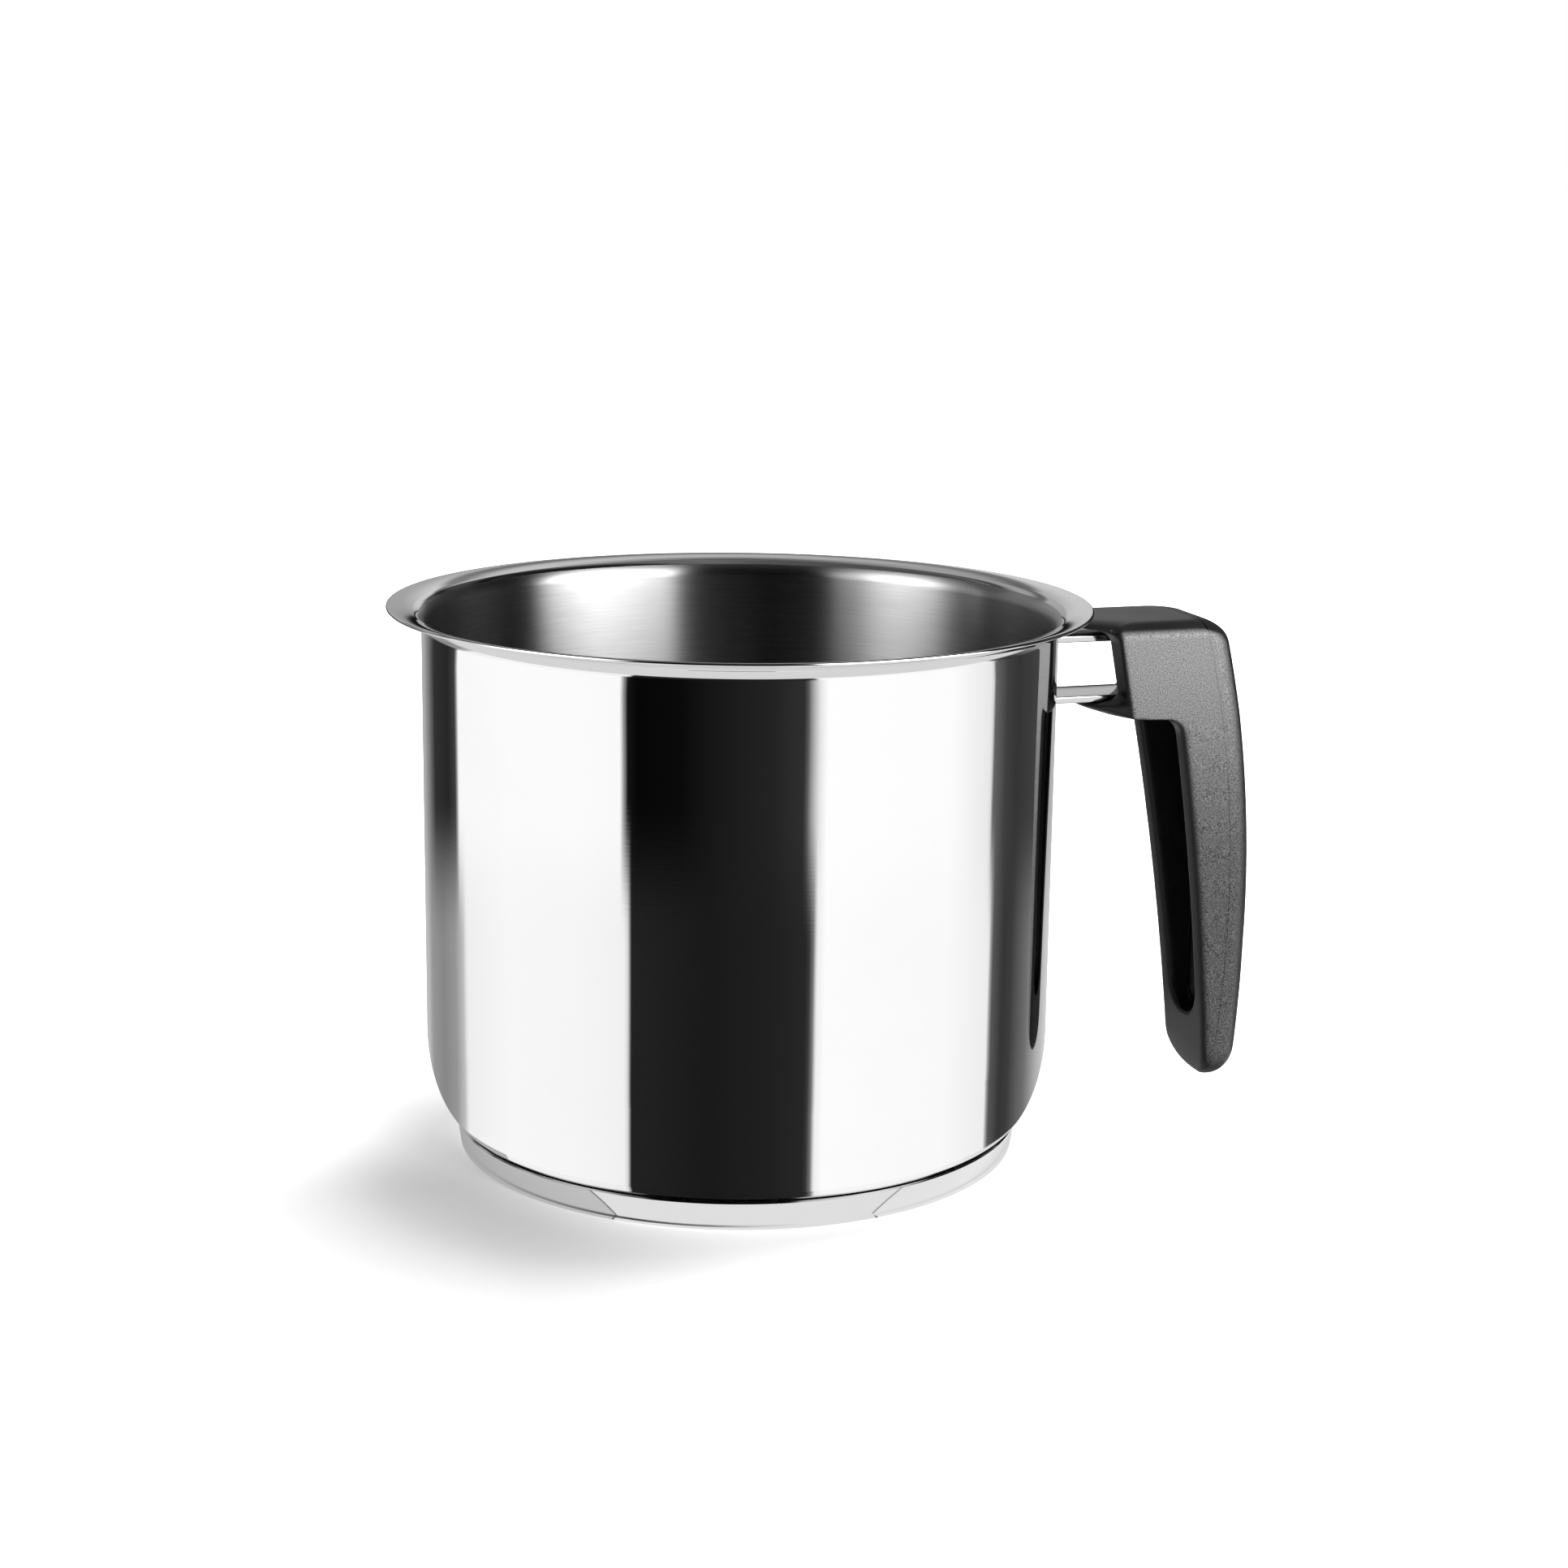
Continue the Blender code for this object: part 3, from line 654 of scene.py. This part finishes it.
channel_floor, channel_round, channel_top = 0.020, 0.007, head_underside - 0.001
channel_side_wall, channel_back_wall, mouth_chamfer = 0.0055, 0.0034, 0.001
z = np.concatenate([channel_floor + channel_round * sunk,
                    np.linspace(channel_floor + channel_round, channel_top, 50)[1:]])[:, None]
keep = rounded_end(z, channel_floor, channel_round)
half = (half_width(z) - channel_side_wall) * keep
near = grip_inner(z)
back = near + (outer_reach(z) - channel_back_wall - near) * keep
side_x = np.hstack([near - cut_overrun, near, near + mouth_chamfer, back - 0.4 * half, back])
side_y = np.hstack([half + mouth_chamfer, half + mouth_chamfer, half, half, 0.6 * half])
channel = level_rings(z, np.hstack([side_x, side_x[:, ::-1]]), np.hstack([-side_y, side_y[:, ::-1]]))
cutters = [lofted("channel", channel)]
for slot_floor in slot_floors:
    corners = [(outer_radius, -1), (arm_reach + gap, -1), (arm_reach + gap, 1), (outer_radius, 1)]
    slot = [[(x, y * (strap_width / 2 + gap), height) for x, y in corners]
            for height in (slot_floor, slot_floor + slot_height)]
    cutters.append(lofted("slot", np.array(slot)))
counterbore_radius, counterbore_top, bore_top = 0.0042, head_underside + 0.0012, upper_arm + 0.001
cutters.append(screw_bore("bore", bore_radius, head_underside, bore_top))
cutters.append(screw_bore("counterbore", counterbore_radius, head_underside - cut_overrun, counterbore_top))
moulded = lofted("handle_skin", np.concatenate([grip_rings, head_rings]))
mesh = cut_from(moulded, cutters, voxel=0.00045, rounds=5)
mesh.name = "handle_skin"

# Painted sheen: the flanks are painted paler than the edges, the roof and the channel, for the sheen that
# the lamps put on the sides, so each point carries how squarely it faces sideways.
spot, facing = np.empty((2, len(mesh.vertices), 3), np.float32)
mesh.vertices.foreach_get("co", spot.ravel())
mesh.vertex_normals.foreach_get("vector", facing.ravel())
flank_depth, edge_facing, flank_facing = 0.004, 0.70, 0.98
on_flank = (np.abs(spot[:, 1]) > half_width(spot[:, 2]) - flank_depth) | (spot[:, 2] < channel_floor)
painted_flank_sheen = np.interp(np.abs(facing[:, 1]), (edge_facing, flank_facing), (0, 1)) * on_flank
mesh.attributes.new("painted_flank_sheen", "FLOAT", "POINT").data.foreach_set("value", painted_flank_sheen.astype(np.float32))
handle = dressed("handle_skin", mesh, "handle")

material, tree, output = new_material("black_phenolic")
where = own_place(tree)
x, y, z = add(tree, "ShaderNodeSeparateXYZ", {0: where}).outputs
grain, flow = noise(tree, where, 3200.0, 2.0), noise(tree, where, 90.0, 5.0)
speck = add(tree, "ShaderNodeTexVoronoi", {"Vector": where, "Scale": 1400.0}).outputs["Distance"]

# The parting line runs beside the outer face, on the same arc.
seam_inset = 0.0066
above_belly = maths(tree, "SUBTRACT", z, belly_height)
swept = maths(tree, "MULTIPLY", maths(tree, "MULTIPLY", above_belly, above_belly), -1 / (2 * belly_radius))
seam_reach = maths(tree, "ADD", swept, belly_reach - seam_inset)
from_seam = maths(tree, "ABSOLUTE", maths(tree, "SUBTRACT", x, seam_reach))
seam = maths(tree, "SUBTRACT", 1.0, smooth_step(tree, from_seam, 0.00008, 0.0003))

# Painted light: the flanks' painted sheen grows paler towards the head, and their grain shows more there.
painted_flank_sheen = add(tree, "ShaderNodeAttribute", attribute_name="painted_flank_sheen").outputs["Fac"]
climb = smooth_step(tree, z, 0.03, 0.12)
painted_sheen_level = maths(tree, "MULTIPLY_ADD", maths(tree, "MULTIPLY", climb, climb), 0.20, 0.06)
grained = maths(tree, "MULTIPLY", maths(tree, "SUBTRACT", grain, 0.5), maths(tree, "ADD", painted_sheen_level, 0.2))
painted_sheen_level = maths(tree, "MAXIMUM", maths(tree, "MULTIPLY_ADD", grained, 1.6, painted_sheen_level), 0.01)
base = maths(tree, "MULTIPLY_ADD", painted_flank_sheen, painted_sheen_level, maths(tree, "MULTIPLY_ADD", flow, 0.012, 0.008))
base = maths(tree, "MULTIPLY_ADD", seam, -0.02, base)
pits = relief(tree, speck, 0.15, 0.00008, under=relief(tree, grain, 0.5, 0.00006))
principled(tree, output, {
    "Base Color": grey_colour(tree, base), "Roughness": maths(tree, "MULTIPLY_ADD", flow, 0.10, 0.28),
    "Specular IOR Level": 0.3, "Normal": relief(tree, seam, 0.7, 0.00012, under=pits)})
handle.data.materials.append(material)


# Handle screw and washer
# A zinc-plated pan-head screw, driven up through the head and both arms from below, over a split
# spring washer that keeps it from working loose.
head_radius, head_height, pan_round, pan_rise = 0.0038, 0.002, 0.001, 0.0006
shank_radius, shank_chamfer, shank_top = 0.002, 0.0006, upper_arm + 0.0007
slot_half_length, slot_half_width, slot_depth = 0.006, 0.0005, 0.001
washer_thickness = 0.0006
screw_seat = counterbore_top - washer_thickness - 2 * gap
screw_foot = screw_seat - head_height
swing = np.linspace(0, np.pi / 2, 10)
pan = np.stack([head_radius - pan_round * (1 - np.sin(swing)),
                screw_foot + pan_rise * (1 - np.cos(swing))], -1)
shank = np.array([[head_radius, screw_seat], [shank_radius, screw_seat],
                  [shank_radius, shank_top - shank_chamfer], [shank_radius - shank_chamfer, shank_top]])
middle_radius = 0.0001
screw_profile = np.concatenate([[[middle_radius, screw_foot]], pan, shank, [[middle_radius, shank_top]]])
turn = np.linspace(0, 2 * np.pi, round_steps, endpoint=False)
rings = np.stack([screw_reach + screw_profile[:, :1] * np.cos(turn), screw_profile[:, :1] * np.sin(turn),
                  np.repeat(screw_profile[:, 1:], round_steps, 1)], -1)
slot = np.array([[(screw_reach + x * slot_half_length, y * slot_half_width, height)
                  for x, y in ((-1, -1), (1, -1), (1, 1), (-1, 1))]
                 for height in (screw_foot - cut_overrun, screw_foot + slot_depth)])
mesh = cut_from(lofted("handle_screw_skin", rings), [lofted("driver_slot", slot)])
mesh.name = "handle_screw_skin"
mesh.set_sharp_from_angle(angle=np.radians(35))
screw = dressed("handle_screw_skin", mesh, "handle_screw")


def flattened(wave):
    """A sine wave with flattened crests, so that a circle drawn with it is a rounded square."""
    return np.abs(wave) ** 0.35 * np.sign(wave)


# A wire of squared section wound once round the screw, its two ends a little apart and out of level.
washer_reach, wire_half_width, wire_half_height, wire_twist = 0.0031, 0.00078, 0.00024, 0.00005
washer_middle = counterbore_top - gap - washer_thickness / 2
turn = np.radians(np.linspace(5, 355, 90))[:, None]
swing = np.linspace(0, 2 * np.pi, 24, endpoint=False)
reach = washer_reach + wire_half_width * flattened(np.cos(swing))
rise = washer_middle + wire_half_height * flattened(np.sin(swing)) + wire_twist * (turn / np.pi - 1)
rings = np.stack([screw_reach + reach * np.cos(turn), reach * np.sin(turn), rise], -1)
mesh = lofted("screw_washer_skin", rings)
mesh.shade_smooth()
mesh.set_sharp_from_angle(angle=np.radians(50))
washer = dressed("screw_washer_skin", mesh, "screw_washer")

material, tree, output = new_material("zinc_plated_steel")
where = own_place(tree)
blotch, frost = noise(tree, where, 900.0, 4.0), noise(tree, where, 6000.0, 2.0)
shade = maths(tree, "MULTIPLY_ADD", blotch, 0.16, 0.52)
principled(tree, output, {
    "Base Color": grey_colour(tree, shade, blue_share=0.97), "Metallic": 1.0,
    "Roughness": maths(tree, "MULTIPLY_ADD", blotch, 0.2, 0.24),
    "Normal": relief(tree, frost, 0.3, 0.00002)})
screw.data.materials.append(material)
washer.data.materials.append(material)


# Panels that the polished steel mirrors
# A dome of white softboxes, dark gaps and a grey ceiling, and two cards on the floor. Only glossy
# reflections see them.
def only_mirrored(item):
    """The object is seen in glossy reflections and nowhere else."""
    for kind in ("camera", "diffuse", "transmission", "volume_scatter", "shadow"):
        setattr(item, "visible_" + kind, False)


def mixed(tree, share, first, second):
    """The first colour where the share is 0 and the second where it is 1."""
    node = add(tree, "ShaderNodeMix", {"Factor": share, 6: first, 7: second}, data_type="RGBA")
    return node.outputs[2]


def camera_place(tree):
    """The place with +X to the camera's right and +Y away from it, and its bearing in radians.

    The bearing is 0 towards the camera and grows to the right.
    """
    where = own_place(tree)
    turned = add(tree, "ShaderNodeMapping", {"Vector": where}, vector_type="POINT")
    turned.inputs["Rotation"].default_value[2] = handle_turn
    x, y, z = add(tree, "ShaderNodeSeparateXYZ", {0: turned.outputs[0]}).outputs
    return x, y, z, maths(tree, "ARCTAN2", x, maths(tree, "MULTIPLY", y, -1.0))


dome_radius = 14.0
tilt, turn = np.meshgrid(np.radians(np.linspace(-89.9, 89.9, 61)),
                         np.linspace(0, 2 * np.pi, 120, endpoint=False), indexing="ij")
dome_points = dome_radius * np.stack([np.cos(tilt) * np.cos(turn), np.cos(tilt) * np.sin(turn),
                                      np.sin(tilt)], -1)
dome = placed("dome", grid_mesh("dome", dome_points, closed_around=True))
only_mirrored(dome)
material, tree, output = new_material("softboxes_and_gaps")
x, y, z, bearing = camera_place(tree)
whole_turn = 2 * np.pi
around = maths(tree, "MULTIPLY_ADD", bearing, 1 / whole_turn, 0.5)
rise = maths(tree, "MULTIPLY", maths(tree, "ARCSINE", maths(tree, "DIVIDE", z, dome_radius)), 180 / np.pi)
over = maths(tree, "MULTIPLY", maths(tree, "ARCTAN2", z, maths(tree, "MULTIPLY", y, -1.0)), 1 / np.pi)


def bearings(pairs):
    """Ramp stops from (degrees to the right of the camera, grey) pairs."""
    return [((degrees + 180) / 360, grey) for degrees, grey in pairs]


# What stands round the pot just below the horizon and farther down: a softbox on the left, a dark
# gap round the camera, a softbox on the right and a darker room behind.
high = ramp(tree, around, bearings([
    (-180, 0.46), (-160, 0.40), (-150, 0.19), (-146, 0.10), (-142, 0.03), (-128, 0.02),
    (-121.5, 0.05), (-119.5, 0.94), (-90, 0.97), (-60, 0.97), (-41.6, 0.95), (-40.4, 0.008),
    (-36, 0.002), (-20, 0.003), (-5, 0.010), (12, 0.017), (23.5, 0.03), (28.3, 0.80), (31, 1.0),
    (80, 0.98), (101, 0.80), (102.5, 0.13), (110, 0.05), (118, 0.035), (132, 0.05), (141, 0.07),
    (143, 0.33), (170, 0.50)]))
low_stops = bearings([
    (-180, 0.55), (-158, 0.48), (-150, 0.30), (-135, 0.24), (-124, 0.30), (-118, 0.50),
    (-115, 0.85), (-90, 0.93), (-60, 0.92), (-39.6, 0.88), (-38.4, 0.016), (-10, 0.010),
    (12, 0.014), (24, 0.02), (26.5, 0.06), (28, 0.85), (31, 0.98), (80, 0.95), (103, 0.84),
    (104.5, 0.10), (112, 0.035), (118, 0.045), (132, 0.16), (145, 0.40), (161, 0.60)])
low = ramp(tree, around, low_stops)
# The ceiling runs from the camera's side over the pot to the far side, and its bands lie on the flare.
ceiling = ramp(tree, over, [
    (0.0, 0.02), (0.26, 0.02), (0.30, 0.05), (0.45, 0.05), (0.50, 0.06), (0.54, 0.08), (0.64, 0.08),
    (0.70, 0.06), (0.728, 0.12), (0.738, 0.16), (0.748, 0.05), (0.765, 0.05), (0.785, 0.22), (0.81, 0.34),
    (0.835, 0.30), (0.858, 0.12), (0.872, 0.14), (0.885, 0.38), (0.92, 0.36), (0.955, 0.34),
    (0.972, 0.28), (0.982, 0.01), (1.0, 0.0)])

# What the brushed inside mirrors, higher up than the wall's own panels.
inside_tone = ramp(tree, around, bearings([
    (-180, 0.10), (-133, 0.09), (-118, 0.06), (-109, 0.06), (-103, 0.25), (-99, 0.42), (-87, 0.34),
    (-76, 0.42), (-64, 0.50), (-54, 0.37), (-47, 0.16), (-38, 0.11), (-35.5, 0.0), (24, 0.0), (27, 0.40),
    (32, 0.52), (37, 0.52), (42, 0.63), (52, 0.71), (57.4, 0.80), (68, 0.67), (79, 0.50), (84, 0.38),
    (87, 0.0), (101, 0.0), (103, 0.02), (112, 0.28), (120, 0.45), (129, 0.32), (139, 0.10), (152, 0.10),
    (180, 0.10)]))

# By degrees of rise: the plain sweep, the low panels, the high ones, those for the inside, and the
# ceiling, which comes down to the horizon behind the pot.
below = (0.66, 0.66, 0.66, 1)
behind = maths(tree, "MULTIPLY", smooth_step(tree, y, -2.8, 1.4), smooth_step(tree, rise, -9.0, -7.0))
above = maths(tree, "MAXIMUM", smooth_step(tree, rise, 58.0, 64.0), behind)
tone = mixed(tree, smooth_step(tree, rise, -15.5, -12.5), low, high)
tone = mixed(tree, smooth_step(tree, rise, -2.0, 3.0), tone, inside_tone)
tone = mixed(tree, smooth_step(tree, rise, -28.0, -23.0), below, tone)
tone = mixed(tree, above, tone, ceiling)
dim_right = maths(tree, "MULTIPLY", smooth_step(tree, x, 1.9, 3.4), behind)
tone = mixed(tree, maths(tree, "MULTIPLY", dim_right, 0.9), tone, (0, 0, 0, 1))

# The panels for the inside are lamps, and so is a patch behind the pot on its left. They shine only
# where the steel mirrors them at first hand, and no panel adds light to anything matte.
lit = maths(tree, "SUBTRACT", smooth_step(tree, rise, 0.0, 4.0), smooth_step(tree, rise, 32.0, 44.0))
patch = maths(tree, "MULTIPLY_ADD", smooth_step(tree, y, 2.4, 4.2), -0.6, 0.6)
left_behind = maths(tree, "MULTIPLY", maths(tree, "LESS_THAN", x, -3.0), patch)
left_behind = maths(tree, "MULTIPLY", left_behind, behind)
lit = maths(tree, "MULTIPLY", lit, maths(tree, "ADD", left_behind, maths(tree, "SUBTRACT", 1.0, above)))
right_behind = maths(tree, "MULTIPLY", smooth_step(tree, x, -0.8, 0.8), behind)
lit = maths(tree, "MULTIPLY_ADD", right_behind, 0.07, lit)
path = add(tree, "ShaderNodeLightPath")
lit = maths(tree, "MULTIPLY", lit, maths(tree, "LESS_THAN", path.outputs["Glossy Depth"], 1.5))
direct = maths(tree, "LESS_THAN", path.outputs["Diffuse Depth"], 0.5)
plain_power, lamp_power = 1.05, 9.0
power = maths(tree, "MULTIPLY", maths(tree, "MULTIPLY_ADD", lit, lamp_power, plain_power), direct)
shine = add(tree, "ShaderNodeEmission", {"Color": tone, "Strength": power})
tree.links.new(shine.outputs[0], output.inputs["Surface"])
dome.data.materials.append(material)

# The floor close to the pot, as the wall's lower corner mirrors it. Each point of this card is where
# the camera's view, mirrored in the body's side, meets the floor. It keeps the bearing that the
# straight wall above shows. From farther off it is clear.
card_level = -0.0006
side_turn, place = np.meshgrid(np.radians(np.linspace(-86, 86, 140)), np.linspace(0, 1, 40), indexing="ij")
corner_turn = np.pi / 2 * (1 - 0.76 * place)
radius = outer_radius - corner_reach * (1 - np.sin(corner_turn))
height = floor_height + corner_height * (1 - np.cos(corner_turn))
lean = np.arctan2(corner_height * np.sin(corner_turn), corner_reach * np.cos(corner_turn))
outward = np.stack([np.sin(lean) * np.sin(side_turn), -np.sin(lean) * np.cos(side_turn), -np.cos(lean)], -1)
spot = np.stack([radius * np.sin(side_turn), -radius * np.cos(side_turn), height], -1)
view = spot - np.array([0, -camera_distance, camera_height])
view = view / np.linalg.norm(view, axis=-1, keepdims=True)
bounce = view - 2 * np.sum(view * outward, -1, keepdims=True) * outward
least_fall, longest_travel = 0.01, 0.5
travel = np.minimum((spot[..., 2] - card_level) / np.maximum(-bounce[..., 2], least_fall), longest_travel)
landing = spot + travel[..., None] * bounce
card_points = np.stack(from_camera_side(landing[..., 0], landing[..., 1],
                                        np.full_like(travel, card_level)), -1)
offset = spot[..., 0] / (camera_distance + spot[..., 1])
shown = np.interp(offset, offset[:, 0], np.unwrap(np.arctan2(bounce[:, 0, 0], -bounce[:, 0, 1])))
near_mesh = grid_mesh("near_floor", card_points)
bearing = (shown / whole_turn + 0.5).astype(np.float32).ravel()
near_mesh.attributes.new("bearing", "FLOAT", "POINT").data.foreach_set("value", bearing)
only_mirrored(placed("near_floor", near_mesh))
material, tree, output = new_material("near_floor")
bearing = add(tree, "ShaderNodeAttribute", attribute_name="bearing").outputs["Fac"]
far_off = smooth_step(tree, add(tree, "ShaderNodeLightPath").outputs["Ray Length"], 0.108, 0.112)
shine = add(tree, "ShaderNodeEmission", {"Color": ramp(tree, bearing, low_stops), "Strength": plain_power})
clear = add(tree, "ShaderNodeBsdfTransparent")
near_only = add(tree, "ShaderNodeMixShader", {0: far_off, 1: shine.outputs[0], 2: clear.outputs[0]})
tree.links.new(near_only.outputs[0], output.inputs["Surface"])
near_mesh.materials.append(material)

# A card ring close round the foot, which the cap's side mirrors. It carries painted light and shade of the
# floor: a pale lit field in front between two thin slanted painted shadow lines, and painted half-shade
# greys beside it. A strip of its floor is painted as the contact shade where the cap meets the ground.
# Where the wall mirrors the ring, it shows the wall's own panels instead.
ring_inner, ring_outer, ring_level, ring_top = 0.058, 0.066, -0.0003, 0.0058
card_turn = np.linspace(0, 2 * np.pi, 120, endpoint=False)
edges = ((ring_inner, ring_level), (0.0646, ring_level), (ring_outer, ring_level), (ring_outer, ring_top))
card_points = np.stack([np.column_stack([radius * np.cos(card_turn), radius * np.sin(card_turn),
                                         np.full_like(card_turn, height)]) for radius, height in edges])
card = placed("foot_card", grid_mesh("foot_card", card_points, closed_around=True))
only_mirrored(card)
material, tree, output = new_material("foot_card")
x, y, z, bearing = camera_place(tree)
line_slant, line_start = -37.6, 1.082
left_line, right_line = -0.468, 0.551
line_core, line_edge, line_depth = 0.002, 0.006, 0.85
slanted = maths(tree, "MULTIPLY", bearing, maths(tree, "MULTIPLY_ADD", z, line_slant, line_start))
beside = ramp(tree, maths(tree, "MULTIPLY_ADD", slanted, 1 / whole_turn, 0.5), bearings([
    (-180, 0.5), (-90, 0.40), (-60, 0.47), (-20, 0.58), (20, 0.80), (60, 0.86), (110, 0.6), (180, 0.5)]))
left_of = maths(tree, "LESS_THAN", slanted, left_line)
right_of = maths(tree, "GREATER_THAN", slanted, right_line)
tone = mixed(tree, maths(tree, "MAXIMUM", left_of, right_of), (0.79, 0.79, 0.79, 1), beside)
from_lines = maths(tree, "MINIMUM", maths(tree, "ABSOLUTE", maths(tree, "SUBTRACT", slanted, left_line)),
                   maths(tree, "ABSOLUTE", maths(tree, "SUBTRACT", slanted, right_line)))
off_line = smooth_step(tree, from_lines, line_core, line_edge)
tone = mixed(tree, maths(tree, "MULTIPLY_ADD", off_line, -line_depth, line_depth), tone, (0, 0, 0, 1))

strip_inner, strip_outer = 0.0651, 0.0659
flat = add(tree, "ShaderNodeCombineXYZ", {0: x, 1: y})
reach = add(tree, "ShaderNodeVectorMath", {0: flat.outputs[0]}, operation="LENGTH").outputs["Value"]
strip = maths(tree, "MULTIPLY", maths(tree, "GREATER_THAN", reach, strip_inner),
              maths(tree, "LESS_THAN", reach, strip_outer))
# Painted contact shade along the strip, darkest a little left of the camera.
painted_contact_shade = ramp(tree, maths(tree, "MULTIPLY_ADD", bearing, 1 / whole_turn, 0.5), bearings([
    (-180, 0.5), (-90, 0.40), (-60, 0.40), (-35, 0.20), (-20, 0.04), (-5, 0.20), (4, 0.60), (14, 0.80),
    (40, 0.75), (180, 0.5)]))
tone = mixed(tree, strip, tone, painted_contact_shade)

# A ray from the wall is longer than one from the cap, or has been mirrored twice. The panels keep
# step with the ring's own bearing by a scale and a shift.
from_wall_length, wall_side, wall_scale, wall_shift = 0.006, 1.02, 1.69, 0.4992
path = add(tree, "ShaderNodeLightPath")
twice = maths(tree, "GREATER_THAN", path.outputs["Glossy Depth"], 1.5)
far_off = maths(tree, "GREATER_THAN", path.outputs["Ray Length"], from_wall_length)
near_side = maths(tree, "LESS_THAN", maths(tree, "ABSOLUTE", bearing), wall_side)
from_wall = maths(tree, "MULTIPLY", maths(tree, "MAXIMUM", twice, far_off), near_side)
wall_tone = ramp(tree, maths(tree, "MULTIPLY_ADD", bearing, wall_scale / whole_turn, wall_shift), low_stops)
tone = mixed(tree, from_wall, tone, wall_tone)
clear = add(tree, "ShaderNodeBsdfTransparent")
inside = add(tree, "ShaderNodeNewGeometry").outputs["Backfacing"]
shine = add(tree, "ShaderNodeEmission", {"Color": tone})
one_sided = add(tree, "ShaderNodeMixShader", {0: inside, 1: clear.outputs[0], 2: shine.outputs[0]})
tree.links.new(one_sided.outputs[0], output.inputs["Surface"])
card.data.materials.append(material)
